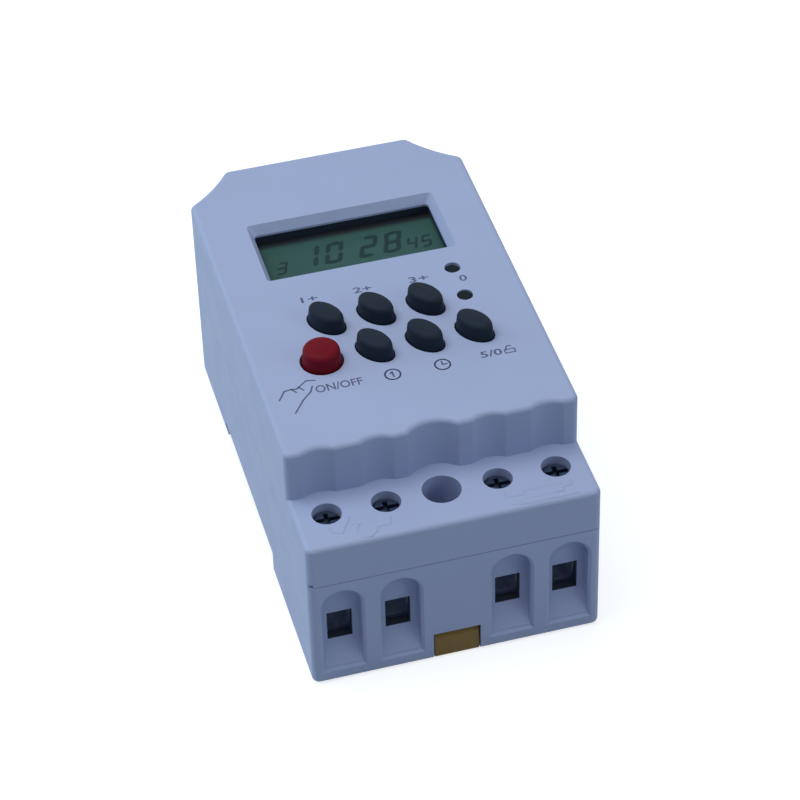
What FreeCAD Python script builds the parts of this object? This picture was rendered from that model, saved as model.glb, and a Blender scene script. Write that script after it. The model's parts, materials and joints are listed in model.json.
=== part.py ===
# DIN rail timer with a display, seven buttons and four rising-clamp terminals.
#
# Millimetres. +Z points out of the control face and the terminals are at -Y.
# The origin is the centre of the back, where the unit rests. Places along Y are
# given as distances from the terminal end, which y_at() turns into coordinates.
import FreeCAD
import Part
import math
import os

V = FreeCAD.Vector
X_AXIS = V(1, 0, 0)
Y_AXIS = V(0, 1, 0)
Z_AXIS = V(0, 0, 1)
SLACK = 1.0  # how far a cutting tool runs past the face it opens

# ---- Outer body ----
WIDTH = 50.0
LENGTH = 90.0
FRONT_HEIGHT = 40.6
SHOULDER_HEIGHT = 30.8
SHOULDER_LENGTH = 12.6
SEAM_HEIGHT = 22.5
SEAM_GAP = 0.12
CORNER_CHAMFER = 8.2
CORNER_DISH = 0.6  # how far the middle of a cut-off corner lies inside its chord
CORNER_ROUND = 1.3
FRONT_ROUND = 0.9
BACK_ROUND = 1.2
LUG_BEVEL = 3.5
WALL = 1.8
FLOOR = 1.8
FACE_THICKNESS = 2.1
SHOULDER_THICKNESS = 2.0
TONGUE_HEIGHT = 1.5
TONGUE_THICKNESS = 0.8
TONGUE_CLEARANCE = 0.1

# ---- Terminals ----
TERMINAL_INNER_X = 9.5
TERMINAL_EDGE = 5.5  # from the side of the unit to the outer terminal
TERMINAL_Y = 7.9
NICHE_WIDTH = 6.8
NICHE_TOP = 20.3
NICHE_FOOT = 2.5
NICHE_DEPTH = 2.6
NICHE_BEVEL = 0.45
CABLE_HOLE_WIDTH = 4.3
CABLE_HOLE_HEIGHT = 6.0
CABLE_HOLE_BOTTOM = 7.6
SILL_DROP = 0.4  # from the bottom of the cable hole to the top of the slope before it
SILL_LIP = 0.2
POCKET_FRONT_WALL = 1.8
POCKET_REAR_WALL = 1.3
CAGE_WALL = 0.8
CAGE_FLOOR = 1.0
CAGE_TOP = 1.6
CAGE_DEPTH = 5.4
CAGE_SIDE_CLEARANCE = 0.2
CAGE_END_CLEARANCE = 0.8
CAGE_MARGIN = 0.2
BAR_WIDTH = 3.5
BAR_THICKNESS = 0.8
BAR_TAIL = 4.6
SCREW_HEAD_RADIUS = 2.3
SCREW_HEAD_HEIGHT = 2.15
SCREW_HEAD_BEVEL = 0.3
CROSS_SHARE = 0.62  # length of the cross recess as a share of the head
SCREW_HOLE_CLEARANCE = 0.2
SCREW_SINK = 1.3
SCREW_RADIUS = 1.5
SCREW_THREAD_CLEARANCE = 0.06
SCREW_LEDGE = 0.8
SCREW_LEDGE_CLEARANCE = 0.15
SCREW_SEAT_GAP = 0.05
SCREW_TIP_GAP = 0.1
SLOT_WIDTH = 0.8
SLOT_DEPTH = 1.2
SLEEVE_WALL = 0.9

# ---- Rounded grooves in the step, above the screws ----
GROOVE_RADIUS = 5.4
GROOVE_BITE = 0.8
CENTRE_GROOVE_RADIUS = 6.1
CENTRE_GROOVE_BITE = 1.8
GROOVE_EDGE_ROUND = 0.8

# ---- Case screw in the deep centre hole ----
CASE_SCREW_Y = 8.1
CASE_HOLE_RADIUS = 3.3
CASE_BOSS_WALL = 1.4
CASE_BOSS_FOOT = 16.0
CASE_BOSS_FLOOR = 1.2
CASE_SCREW_HEAD_RADIUS = 2.8
CASE_SCREW_HEAD_HEIGHT = 2.0
CASE_SCREW_HEAD_BEVEL = 0.6
CASE_SCREW_RADIUS = 1.45
CASE_SCREW_LENGTH = 8.4
CASE_PILOT_CLEARANCE = 0.03
BASE_BOSS_RADIUS = 3.5
CORE_HALF_WIDTH = 5.0

# ---- Rail seat and latch ----
RAIL_WIDTH = 35.0
RAIL_CLEARANCE = 0.4
RAIL_FLANGE = 1.0
FLANGE_CLEARANCE = 0.15
NOTCH_START = 28.0
NOTCH_DEPTH = 5.0
HOOK_REACH = 1.6
HOOK_NOSE = 1.2
LATCH_WIDTH = 7.8
LATCH_CLEARANCE = 0.2
LATCH_THICKNESS = 2.5
LATCH_SETBACK = 0.8
LATCH_BEVEL = 0.7
LATCH_PLATE = 1.8
LATCH_PLATE_BOTTOM = 0.7
LATCH_PLATE_TOP = 5.3
LATCH_SLOT_TOP = 6.0
LATCH_SLOT_DEPTH = 5.0
LATCH_LIP = 1.0
LATCH_EYE_START = 3.2
LATCH_EYE_LENGTH = 1.8
LATCH_EYE_WIDTH = 3.2
SPRING_WINDOW_START = 11.8
SPRING_WINDOW_LENGTH = 10.2
SPRING_WINDOW_WIDTH = 3.4
PEG_THICKNESS = 1.2
PEG_GAP = 0.2
SPRING_RADIUS = 0.95
SPRING_WIRE = 0.18
SPRING_TURNS = 6
WIRE_SIDES = 6
SPRING_SEAT_GAP = 0.1
CHANNEL_WALL = 1.3
CHANNEL_ROOF = 1.6

# ---- Display ----
DISPLAY_HALF_WIDTH = 16.9
DISPLAY_TO_END = 33.0  # from the near edge of the display to the far end of the unit
DISPLAY_LENGTH = 16.0
DISPLAY_BEVEL = 1.0
DISPLAY_BEVEL_DEPTH = 1.7
DISPLAY_CORNER = 0.7
FRAME_RIM = 1.5
FRAME_LIP = 1.4
FRAME_WALL = 1.1
FRAME_BORDER = 0.05
GLASS_THICKNESS = 2.0
GLASS_CLEARANCE = 0.1
LENS_THICKNESS = 0.8
STRIP_HEIGHT = 1.4
STRIP_WIDTH = 1.4
STRIP_LENGTH = 30.0

# ---- Buttons ----
BUTTON_PITCH = 8.7
ROW_1_X = -10.0
ROW_1_TO_DISPLAY = 13.8
ROW_2_X = -4.0
ROW_SPACING = 9.2
RED_X = -13.2
CAP_HEIGHT = 2.75
CAP_LONG = 3.75
CAP_SHORT = 2.4
CAP_TILT = -56.0
CAP_TAPER = 0.65
CAP_ROUND = 0.9
CAP_ROUND_STEPS = 4
RED_RADIUS = 3.55
CAP_CLEARANCE = 0.2
CAP_FLANGE_REACH = 0.5
CAP_FLANGE = 1.0
CAP_FLANGE_GAP = 0.3
TACT_SIZE = 6.0
TACT_HEIGHT = 3.4
TACT_ROUND = 0.5
PLUNGER_RADIUS = 1.7
PLUNGER_CLEARANCE = 0.1
PLUNGER_SINK = 1.0
PLUNGER_WELL = 1.8

# ---- Lamp and reset switch ----
SMALL_HOLE_RADIUS = 1.4
SMALL_HOLE_X = 14.5
RESET_TO_DISPLAY = 5.7
LAMP_TO_RESET = 7.7
LAMP_RADIUS = 1.25
LAMP_DEPTH = 0.35
LAMP_BEVEL = 0.3
LAMP_FLANGE = 0.4
RESET_SIZE = 4.2
RESET_HEIGHT = 2.8
RESET_PLUNGER_RADIUS = 1.2
RESET_PLUNGER_DEPTH = 0.7
RESET_WELL = 1.4
RESET_SINK = 0.8

# ---- Boards ----
BOARD_THICKNESS = 1.6
BOARD_EDGE_GAP = 0.8
DISPLAY_BOARD_START = 16.6
DISPLAY_BOARD_MARGIN = 8.0
BOARD_CHAMFER = 4.0
POST_RADIUS = 2.0
POST_TO_BOARD_SIDE = 2.0
DISPLAY_POST_NEAR = 20.0
DISPLAY_POST_MARGIN = 12.4
POWER_BOARD_START = 13.3
POWER_BOARD_MARGIN = 6.0
POWER_POST_NEAR = 24.0
POWER_POST_MARGIN = 11.0
BOARD_SCREW_RADIUS = 0.9
BOARD_SCREW_HEAD_RADIUS = 1.7
BOARD_SCREW_HEAD_HEIGHT = 1.3
BOARD_SCREW_LENGTH = 5.2
BOARD_HOLE_CLEARANCE = 0.15
PILOT_CLEARANCE = 0.02

# ---- Parts on the power board ----
LINK_PINS = 8
LINK_SPACING = 2.54
LINK_Y = 20.6
LINK_WIDTH = 2.5
LINK_BASE = 2.5
LINK_PIN = 0.64
LINK_PIN_CLEARANCE = 0.08
LINK_PIN_HEADROOM = 6.1
LINK_OVERLAP = 2.5
RELAY_WIDTH = 15.4
RELAY_LENGTH = 19.0
RELAY_HEADROOM = 2.4
RELAY_TO_SIDE = 8.8
RELAY_Y = 40.0
RELAY_ROUND = 0.8
FILM_WIDTH = 18.0
FILM_LENGTH = 8.0
FILM_HEADROOM = 3.6
FILM_TO_SIDE = 11.4
FILM_Y = 31.0
CAN_RADIUS = 5.0
CAN_HEADROOM = 3.1
CAN_TO_SIDE = (16.8, 6.0)
CAN_Y = 41.5
CAN_GROOVE = 0.5
CAN_GROOVE_HEIGHT = 2.0
DIODE_RADIUS = 1.3
DIODE_LENGTH = 5.2
DIODE_LEAD = 0.4
DIODE_SPAN = 10.0
DIODE_LIFT = 1.9
DIODE_TO_SIDE = 9.9
DIODE_START = 49.5
DIODE_PITCH = 4.0
DIODES = 4
RESISTOR_START = 65.3
RESISTOR_RADIUS = 1.05
RESISTOR_LENGTH = 6.2
RESISTORS = 3
VARISTOR_RADIUS = 4.5
VARISTOR_THICKNESS = 4.0
VARISTOR_LIFT = 1.6
VARISTOR_BEVEL = 1.0
VARISTOR_TO_SIDE = 10.4
VARISTOR_Y = 26.4
CELL_RADIUS = 8.0
CELL_HEIGHT = 3.2
CELL_CAP_RADIUS = 6.9
CELL_CAN_HEIGHT = 2.5
CELL_TO_SIDE = 11.4
CELL_Y = 61.0
HOLDER_WALL = 1.0
HOLDER_FLOOR = 1.0
HOLDER_CLEARANCE = 0.15
HOLDER_NOTCH = 6.0

# ---- Parts under the display board ----
CHIP_SIZE = 12.0
CHIP_HEIGHT = 1.5
CHIP_ROUND = 0.4
CHIP_X = 0.0
CHIP_Y = 62.0
CRYSTAL_WIDTH = 11.0
CRYSTAL_DEPTH = 4.6
CRYSTAL_HEIGHT = 3.4
CRYSTAL_ROUND = 2.1
CRYSTAL_X = 14.0
CRYSTAL_Y = 60.0

# ---- Pry pit at the seam, at the left end of the near face ----
PIT_LENGTH = 0.9
PIT_DEPTH = 0.6
PIT_HEIGHT = 0.6

# ---- Snap hooks that hold the far end of the two shells together ----
SNAP_X = 10.0
SNAP_WIDTH = 6.0
SNAP_THICKNESS = 1.3
SNAP_FOOT = 17.0
SNAP_BARB = 1.4
SNAP_ROOT = 27.0
SNAP_ROOT_TOP = 30.0
LEDGE_REACH = 1.2
LEDGE_BOTTOM = 18.6
LEDGE_HEIGHT = 1.4
SNAP_CLEARANCE = 0.2

# ---- Levels that follow from the sizes above ----
FACE_UNDERSIDE = FRONT_HEIGHT - FACE_THICKNESS
SHOULDER_UNDERSIDE = SHOULDER_HEIGHT - SHOULDER_THICKNESS
TERMINALS = [TERMINAL_EDGE - WIDTH / 2, -TERMINAL_INNER_X]
TERMINALS += [-x for x in reversed(TERMINALS)]

BAR_BOTTOM = CABLE_HOLE_BOTTOM + CABLE_HOLE_HEIGHT
BAR_TOP = BAR_BOTTOM + BAR_THICKNESS
CAGE_BOTTOM = CABLE_HOLE_BOTTOM - CAGE_FLOOR
SCREW_TOP = SHOULDER_HEIGHT - SCREW_SINK
SCREW_SEAT = SCREW_TOP - SCREW_HEAD_HEIGHT
LEDGE_TOP = SCREW_SEAT - SCREW_SEAT_GAP
SLEEVE_BOTTOM = LEDGE_TOP - SCREW_LEDGE
CAGE_LIFT = (SLEEVE_BOTTOM - BAR_TOP - CAGE_TOP - 2.5 * CAGE_MARGIN) / 2
CAGE_CEILING = BAR_TOP + CAGE_LIFT + CAGE_MARGIN
CAGE_INNER_WIDTH = CABLE_HOLE_WIDTH + 0.5 * CAGE_SIDE_CLEARANCE
CAGE_WIDTH = CAGE_INNER_WIDTH + 2 * CAGE_WALL
POCKET_START = NICHE_DEPTH + POCKET_FRONT_WALL
POCKET_END = TERMINAL_Y + CAGE_DEPTH / 2 + CAGE_END_CLEARANCE
BLOCK_END = POCKET_END + POCKET_REAR_WALL
SCREW_HOLE_RADIUS = SCREW_HEAD_RADIUS + SCREW_HOLE_CLEARANCE

SEAT_Z = NOTCH_DEPTH
HOOK_TOP = SEAT_Z - RAIL_FLANGE - FLANGE_CLEARANCE
NOTCH_END = NOTCH_START + RAIL_WIDTH + RAIL_CLEARANCE
LATCH_BOTTOM = HOOK_TOP - LATCH_THICKNESS
CHANNEL_TOP = HOOK_TOP + LATCH_CLEARANCE
CHANNEL_HALF_WIDTH = LATCH_WIDTH / 2 + LATCH_CLEARANCE
LIP_TOP = LATCH_BOTTOM - LATCH_CLEARANCE
PEG_START = SPRING_WINDOW_START + PEG_GAP

DISPLAY_START = LENGTH - DISPLAY_TO_END
DISPLAY_END = DISPLAY_START + DISPLAY_LENGTH
ROW_1_Y = DISPLAY_START - ROW_1_TO_DISPLAY
ROW_2_Y = ROW_1_Y - ROW_SPACING
RESET_Y = DISPLAY_START - RESET_TO_DISPLAY
LAMP_Y = RESET_Y - LAMP_TO_RESET
LENS_TOP = FACE_UNDERSIDE - FRAME_RIM
GLASS_TOP = LENS_TOP - LENS_THICKNESS
GLASS_BOTTOM = GLASS_TOP - GLASS_THICKNESS
DISPLAY_BOARD_TOP = GLASS_BOTTOM - STRIP_HEIGHT
DISPLAY_BOARD_BOTTOM = DISPLAY_BOARD_TOP - BOARD_THICKNESS
POWER_BOARD_TOP = BAR_BOTTOM
POWER_BOARD_BOTTOM = POWER_BOARD_TOP - BOARD_THICKNESS
BOARD_GAP = DISPLAY_BOARD_BOTTOM - POWER_BOARD_TOP
BOARD_HALF_WIDTH = WIDTH / 2 - WALL - BOARD_EDGE_GAP
POST_X = BOARD_HALF_WIDTH - POST_TO_BOARD_SIDE

TACT_TOP = DISPLAY_BOARD_TOP + TACT_HEIGHT
FLANGE_TOP = FACE_UNDERSIDE - CAP_FLANGE_GAP
FLANGE_BOTTOM = FLANGE_TOP - CAP_FLANGE
CAP_TOP = FRONT_HEIGHT + CAP_HEIGHT

BUTTONS = [("button_red", RED_X, ROW_2_Y)]
BUTTONS += [(f"button_{i + 1}", ROW_1_X + i * BUTTON_PITCH, ROW_1_Y) for i in range(3)]
BUTTONS += [(f"button_{i + 4}", ROW_2_X + i * BUTTON_PITCH, ROW_2_Y) for i in range(3)]
DISPLAY_POST_PLACES = (DISPLAY_POST_NEAR, LENGTH - DISPLAY_POST_MARGIN)
DISPLAY_POSTS = [(side * POST_X, y) for side in (-1, 1) for y in DISPLAY_POST_PLACES]
POWER_POST_PLACES = (POWER_POST_NEAR, LENGTH - POWER_POST_MARGIN)
POWER_POSTS = [(side * POST_X, y) for side in (-1, 1) for y in POWER_POST_PLACES]


def y_at(distance):
    """Y of a place that lies this far from the terminal end."""
    return distance - LENGTH / 2


# ---- Shapes used by several pieces ----
def box(x, y, z):
    """Box between pairs of limits, with y as distances from the terminal end."""
    return Part.makeBox(x[1] - x[0], y[1] - y[0], z[1] - z[0], V(x[0], y_at(y[0]), z[0]))


def post(x, y, z, radius):
    """Upright cylinder between the two heights in z."""
    return Part.makeCylinder(radius, z[1] - z[0], V(x, y_at(y), z[0]), Z_AXIS)


def prism_along_x(points, x):
    """Solid of an outline of (y, z) points, between the two limits in x."""
    corners = [V(x[0], y_at(y), z) for y, z in points]
    face = Part.Face(Part.makePolygon(corners + corners[:1]))
    return face.extrude(V(x[1] - x[0], 0, 0))


def prism_along_y(points, y):
    """Solid of an outline of (x, z) points, between the two distances in y."""
    corners = [V(x, y_at(y[0]), z) for x, z in points]
    face = Part.Face(Part.makePolygon(corners + corners[:1]))
    return face.extrude(V(0, y[1] - y[0], 0))


def fuse(shapes):
    """One solid of several that touch or overlap."""
    return shapes[0].multiFuse(shapes[1:]).removeSplitter()


def upright_edges(shape):
    """Straight edges that run along Z."""
    found = []
    for edge in shape.Edges:
        low, high = edge.BoundBox.ZMin, edge.BoundBox.ZMax
        flat = edge.BoundBox.XLength < 1e-6 and edge.BoundBox.YLength < 1e-6
        if flat and high - low > 1e-3:
            found.append(edge)
    return found


def level_edges(shape, z):
    """Edges that lie wholly at one height."""
    found = []
    for edge in shape.Edges:
        low, high = edge.BoundBox.ZMin, edge.BoundBox.ZMax
        if max(abs(low - z), abs(high - z)) < 1e-5:
            found.append(edge)
    return found


def plan_face(inset, near, z):
    """The plan outline, moved inwards: square near corners, dished cuts at the far ones."""
    half = WIDTH / 2 - inset
    far = y_at(LENGTH - inset)
    near = y_at(near)
    cut = CORNER_CHAMFER - inset * (2 - math.sqrt(2))
    dish = cut / 2 + CORNER_DISH / math.sqrt(2)
    side, end = (half, far - cut), (half - cut, far)
    middle = (half - dish, far - dish)
    right = [V(x, y, z) for x, y in (side, middle, end)]
    left = [V(-x, y, z) for x, y in (end, middle, side)]
    edges = [Part.makeLine(V(-half, near, z), V(half, near, z)), Part.makeLine(V(half, near, z), right[0])]
    edges += [Part.Arc(*right).toShape(), Part.makeLine(right[2], left[0])]
    edges += [Part.Arc(*left).toShape(), Part.makeLine(left[2], V(-half, near, z))]
    return Part.Face(Part.Wire(edges))


def plan_prism(inset, z, near=None):
    """The plan outline, moved inwards, as a solid between two heights."""
    face = plan_face(inset, inset if near is None else near, z[0])
    return face.extrude(V(0, 0, z[1] - z[0]))


def rounded_rectangle(half_width, y, z, radius):
    """Wire of a level rectangle with round corners."""
    tool = box((-half_width, half_width), y, (z, z + 1))
    tool = tool.makeFillet(radius, upright_edges(tool))
    return [f for f in tool.Faces if f.BoundBox.ZMax < z + 1e-5][0].OuterWire


def oval_wire(x, y, z, long_radius, short_radius):
    """Level ellipse, turned as the dark buttons are."""
    if abs(long_radius - short_radius) < 1e-6:
        return Part.Wire(Part.makeCircle(long_radius, V(x, y_at(y), z)))
    ellipse = Part.Ellipse(V(0, 0, 0), long_radius, short_radius).toShape()
    ellipse.rotate(V(0, 0, 0), Z_AXIS, CAP_TILT)
    ellipse.translate(V(x, y_at(y), z))
    return Part.Wire(ellipse)


def oval_prism(x, y, z, radii, growth=0.0):
    """Upright solid on the oval of a button."""
    wire = oval_wire(x, y, z[0], radii[0] + growth, radii[1] + growth)
    return Part.Face(wire).extrude(V(0, 0, z[1] - z[0]))


def button_radii(name):
    """Long and short radius of a button at the control face."""
    return (RED_RADIUS, RED_RADIUS) if name == "button_red" else (CAP_LONG, CAP_SHORT)


# ---- Shells ----
def groove_centres():
    """Centre x, centre y, radius and bite of each groove in the step."""
    rows = [(x, GROOVE_RADIUS, GROOVE_BITE) for x in TERMINALS]
    rows.append((0.0, CENTRE_GROOVE_RADIUS, CENTRE_GROOVE_BITE))
    return [(x, SHOULDER_LENGTH + bite - radius, radius) for x, radius, bite in rows]


def on_step(edge):
    """Whether an upright edge is one that a groove leaves in the step."""
    near = edge.BoundBox.YMin < y_at(SHOULDER_LENGTH + SLACK)
    return near and abs(edge.BoundBox.XMin) < WIDTH / 2 - CORNER_ROUND - SLACK / 2


def outer_body():
    """The whole unit as one solid, with its rounded edges and stepped front."""
    lower = plan_prism(0, (0, SHOULDER_HEIGHT))
    lower = lower.makeFillet(CORNER_ROUND, upright_edges(lower))
    lower = lower.makeFillet(FRONT_ROUND, level_edges(lower, SHOULDER_HEIGHT))
    lower = lower.makeFillet(BACK_ROUND, level_edges(lower, 0))
    root = SHOULDER_HEIGHT - 2 * FRONT_ROUND
    upper = plan_prism(0, (root, FRONT_HEIGHT), near=SHOULDER_LENGTH)
    for x, y, radius in groove_centres():
        upper = upper.cut(post(x, y, (root - SLACK, FRONT_HEIGHT + SLACK), radius))
    upper = upper.makeFillet(CORNER_ROUND, [e for e in upright_edges(upper) if not on_step(e)])
    upper = upper.makeFillet(GROOVE_EDGE_ROUND, [e for e in upright_edges(upper) if on_step(e)])
    upper = upper.makeFillet(FRONT_ROUND, level_edges(upper, FRONT_HEIGHT))
    return fuse([lower, upper])


def tongue(z, slack):
    """Ring inside the outer wall that lines the shells up at the seam."""
    outer = plan_prism(WALL - TONGUE_THICKNESS - slack, z)
    return outer.cut(plan_prism(WALL, (z[0] - SLACK, z[1] + SLACK)))


def arch_wire(x, y, half_width, foot, top):
    """Arch-topped outline of a terminal niche, standing across Y."""
    spring = top - half_width
    low_left = V(x - half_width, y_at(y), foot)
    left = V(x - half_width, y_at(y), spring)
    crown = V(x, y_at(y), top)
    right = V(x + half_width, y_at(y), spring)
    low_right = V(x + half_width, y_at(y), foot)
    sides = [Part.makeLine(low_left, left), Part.Arc(left, crown, right).toShape()]
    sides += [Part.makeLine(right, low_right), Part.makeLine(low_right, low_left)]
    return Part.Wire(sides)


def niche(x):
    """Cutting tools of one terminal niche: its hollow, its bevelled mouth and its cable hole."""
    half = NICHE_WIDTH / 2
    foot = NICHE_FOOT - SLACK
    arch = Part.Face(arch_wire(x, -SLACK, half, foot, NICHE_TOP)).extrude(V(0, NICHE_DEPTH + SLACK, 0))
    slope = [(-SLACK, NICHE_FOOT - SILL_LIP), (0, NICHE_FOOT)]
    slope += [(NICHE_DEPTH, CABLE_HOLE_BOTTOM - SILL_DROP)]
    slope += [(NICHE_DEPTH, NICHE_TOP + SLACK), (-SLACK, NICHE_TOP + SLACK)]
    hollow = arch.common(prism_along_x(slope, (x - half - SLACK, x + half + SLACK)))
    wide = arch_wire(x, 0, half + NICHE_BEVEL, NICHE_FOOT, NICHE_TOP + NICHE_BEVEL)
    narrow = arch_wire(x, NICHE_BEVEL, half, NICHE_FOOT + NICHE_BEVEL, NICHE_TOP)
    mouth = Part.makeLoft([wide, narrow], True, True)
    side = CABLE_HOLE_WIDTH / 2
    through = (NICHE_DEPTH - SLACK, POCKET_START + SLACK)
    return [hollow, mouth, box((x - side, x + side), through, (CABLE_HOLE_BOTTOM, BAR_BOTTOM))]


def shell_hollows():
    """What is taken out of the lower shell: both lugs deep, and shallow over the rail notch."""
    inner = WIDTH / 2 - WALL
    deep = (FLOOR, SEAM_HEIGHT + SLACK)
    far = plan_prism(WALL, deep, near=NOTCH_END + WALL)
    inset = LUG_BEVEL + FLOOR * math.sqrt(2)
    for side in (-1, 1):
        edge = side * WIDTH / 2
        skin = [(edge, 0), (edge, inset), (edge - side * inset, 0)]
        far = far.cut(prism_along_y(skin, (NOTCH_END, LENGTH)))
    near = box((-inner, inner), (BLOCK_END, NOTCH_START - WALL), deep)
    notch_side = (NOTCH_START - WALL - SLACK, NOTCH_END + WALL + SLACK)
    over_notch = box((-inner, inner), notch_side, (SEAT_Z + FLOOR, SEAM_HEIGHT + SLACK))
    return fuse([far, near, over_notch])


def rail_cuts():
    """The rail notch, undercut at its far end, and the bevels along the lugs."""
    notch = [(NOTCH_START, -SLACK), (NOTCH_START, SEAT_Z), (NOTCH_END, SEAT_Z), (NOTCH_END, HOOK_TOP)]
    notch += [(NOTCH_END - HOOK_REACH, HOOK_TOP), (NOTCH_END - HOOK_REACH, HOOK_TOP - HOOK_NOSE)]
    notch += [(NOTCH_END, 0), (NOTCH_END, -SLACK)]
    tools = [prism_along_x(notch, (-WIDTH, WIDTH))]
    for side in (-1, 1):
        edge = side * WIDTH / 2
        bevel = [(edge, LUG_BEVEL), (edge - side * LUG_BEVEL, 0), (edge - side * LUG_BEVEL, -SLACK)]
        bevel += [(edge + side * SLACK, -SLACK), (edge + side * SLACK, LUG_BEVEL)]
        tools.append(prism_along_y(bevel, (NOTCH_START + SLACK, LENGTH + SLACK)))
    return tools


def latch_cuts():
    """The channel that the latch runs in, open below between its lips, and the slot for its plate."""
    wide = (-CHANNEL_HALF_WIDTH, CHANNEL_HALF_WIDTH)
    lips = (LATCH_LIP - CHANNEL_HALF_WIDTH, CHANNEL_HALF_WIDTH - LATCH_LIP)
    length = (0, NOTCH_START + SLACK)
    tools = [box(wide, (-SLACK, LATCH_SLOT_DEPTH), (-SLACK, LATCH_SLOT_TOP))]
    tools.append(box(wide, length, (LIP_TOP, CHANNEL_TOP)))
    tools.append(box(lips, length, (-SLACK, CHANNEL_TOP)))
    return tools


def terminal_cuts():
    """Niche, cage pocket and bar opening of every terminal."""
    tools = []
    for x in TERMINALS:
        tools += niche(x)
        half = CAGE_WIDTH / 2 + CAGE_SIDE_CLEARANCE
        levels = (CAGE_BOTTOM - CAGE_MARGIN, SEAM_HEIGHT + SLACK)
        tools.append(box((x - half, x + half), (POCKET_START, POCKET_END), levels))
        half = BAR_WIDTH / 2 + CAGE_SIDE_CLEARANCE
        levels = (BAR_BOTTOM, SEAM_HEIGHT + SLACK)
        tools.append(box((x - half, x + half), (POCKET_END - SLACK, BLOCK_END + SLACK), levels))
    return tools


def base_housing():
    """Lower shell: terminals, rail seat, latch channel and posts of the power board."""
    kept = (-SLACK, SEAM_HEIGHT - SEAM_GAP)
    body = outer_body().common(box((-WIDTH, WIDTH), (-SLACK, LENGTH + SLACK), kept))
    body = body.cut(shell_hollows())

    # The channel's walls and roof stand inside the shell, and the latch runs beneath them.
    channel = CHANNEL_HALF_WIDTH + CHANNEL_WALL
    roof = (0, CHANNEL_TOP + CHANNEL_ROOF)
    body = body.fuse(box((-channel, channel), (BLOCK_END - SLACK, NOTCH_START), roof))
    body = body.fuse(tongue((SEAM_HEIGHT - WALL, SEAM_HEIGHT + TONGUE_HEIGHT), 0))
    core = (LATCH_SLOT_TOP + FLOOR, SEAM_HEIGHT + SLACK)
    body = body.cut(box((-CORE_HALF_WIDTH, CORE_HALF_WIDTH), (WALL, BLOCK_END + SLACK), core))
    body = body.fuse(post(0, CASE_SCREW_Y, (LATCH_SLOT_TOP, CASE_BOSS_FOOT), BASE_BOSS_RADIUS))
    for x, y in POWER_POSTS:
        foot = FLOOR / 2 if y < NOTCH_START else FLOOR
        body = body.fuse(post(x, y, (foot, POWER_BOARD_BOTTOM), POST_RADIUS))
    for side in (-1, 1):
        reach = (LENGTH - WALL - LEDGE_REACH, LENGTH - WALL + TONGUE_THICKNESS / 2)
        ledge_x = (side * SNAP_X - SNAP_WIDTH / 2, side * SNAP_X + SNAP_WIDTH / 2)
        body = body.fuse(box(ledge_x, reach, (LEDGE_BOTTOM, LEDGE_BOTTOM + LEDGE_HEIGHT)))

    tools = terminal_cuts() + rail_cuts() + latch_cuts()
    pilot = (CASE_BOSS_FOOT + CASE_BOSS_FLOOR - CASE_SCREW_LENGTH, CASE_BOSS_FOOT + SLACK)
    tools.append(post(0, CASE_SCREW_Y, pilot, CASE_SCREW_RADIUS + CASE_PILOT_CLEARANCE))
    for x, y in POWER_POSTS:
        pilot = (POWER_BOARD_TOP - BOARD_SCREW_LENGTH, POWER_BOARD_TOP)
        tools.append(post(x, y, pilot, BOARD_SCREW_RADIUS + PILOT_CLEARANCE))
    for tool in tools:
        body = body.cut(tool)
    spring_x = SPRING_WINDOW_WIDTH / 2 - LATCH_CLEARANCE
    peg_y = (PEG_START, PEG_START + PEG_THICKNESS)
    peg = box((-spring_x, spring_x), peg_y, (LATCH_BOTTOM, CHANNEL_TOP + CHANNEL_ROOF / 2))
    return body.fuse(peg).removeSplitter()


def snap_hook(x):
    """Tongue with a barb that catches under the ledge of the base's far wall."""
    wall = LENGTH - WALL
    back = wall - LEDGE_REACH - SNAP_CLEARANCE
    front = back - SNAP_THICKNESS
    barb = back + LEDGE_REACH - SNAP_CLEARANCE
    top = LEDGE_BOTTOM - SNAP_CLEARANCE
    root = wall + WALL / 2
    profile = [(front, SNAP_FOOT), (back, SNAP_FOOT), (barb, top - SNAP_BARB / 4), (barb, top), (back, top)]
    profile += [(back, SNAP_ROOT), (root, SNAP_ROOT), (root, SNAP_ROOT_TOP), (front, SNAP_ROOT_TOP)]
    return prism_along_x(profile, (x - SNAP_WIDTH / 2, x + SNAP_WIDTH / 2))


def cover_cavities():
    """What is taken out of the upper shell, under the control face and under the shoulder."""
    low = SEAM_HEIGHT - SLACK
    high = plan_prism(WALL, (low, FACE_UNDERSIDE), near=SHOULDER_LENGTH + WALL)
    for x, y, radius in groove_centres():
        high = high.cut(post(x, y, (SHOULDER_UNDERSIDE, FRONT_HEIGHT), radius + WALL))
    inner = WIDTH / 2 - WALL
    shoulder = box((-inner, inner), (WALL, SHOULDER_LENGTH + 2 * WALL), (low, SHOULDER_UNDERSIDE))
    rebate = tongue((low, SEAM_HEIGHT + TONGUE_HEIGHT + TONGUE_CLEARANCE), TONGUE_CLEARANCE)
    return [high, shoulder, rebate]


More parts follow.
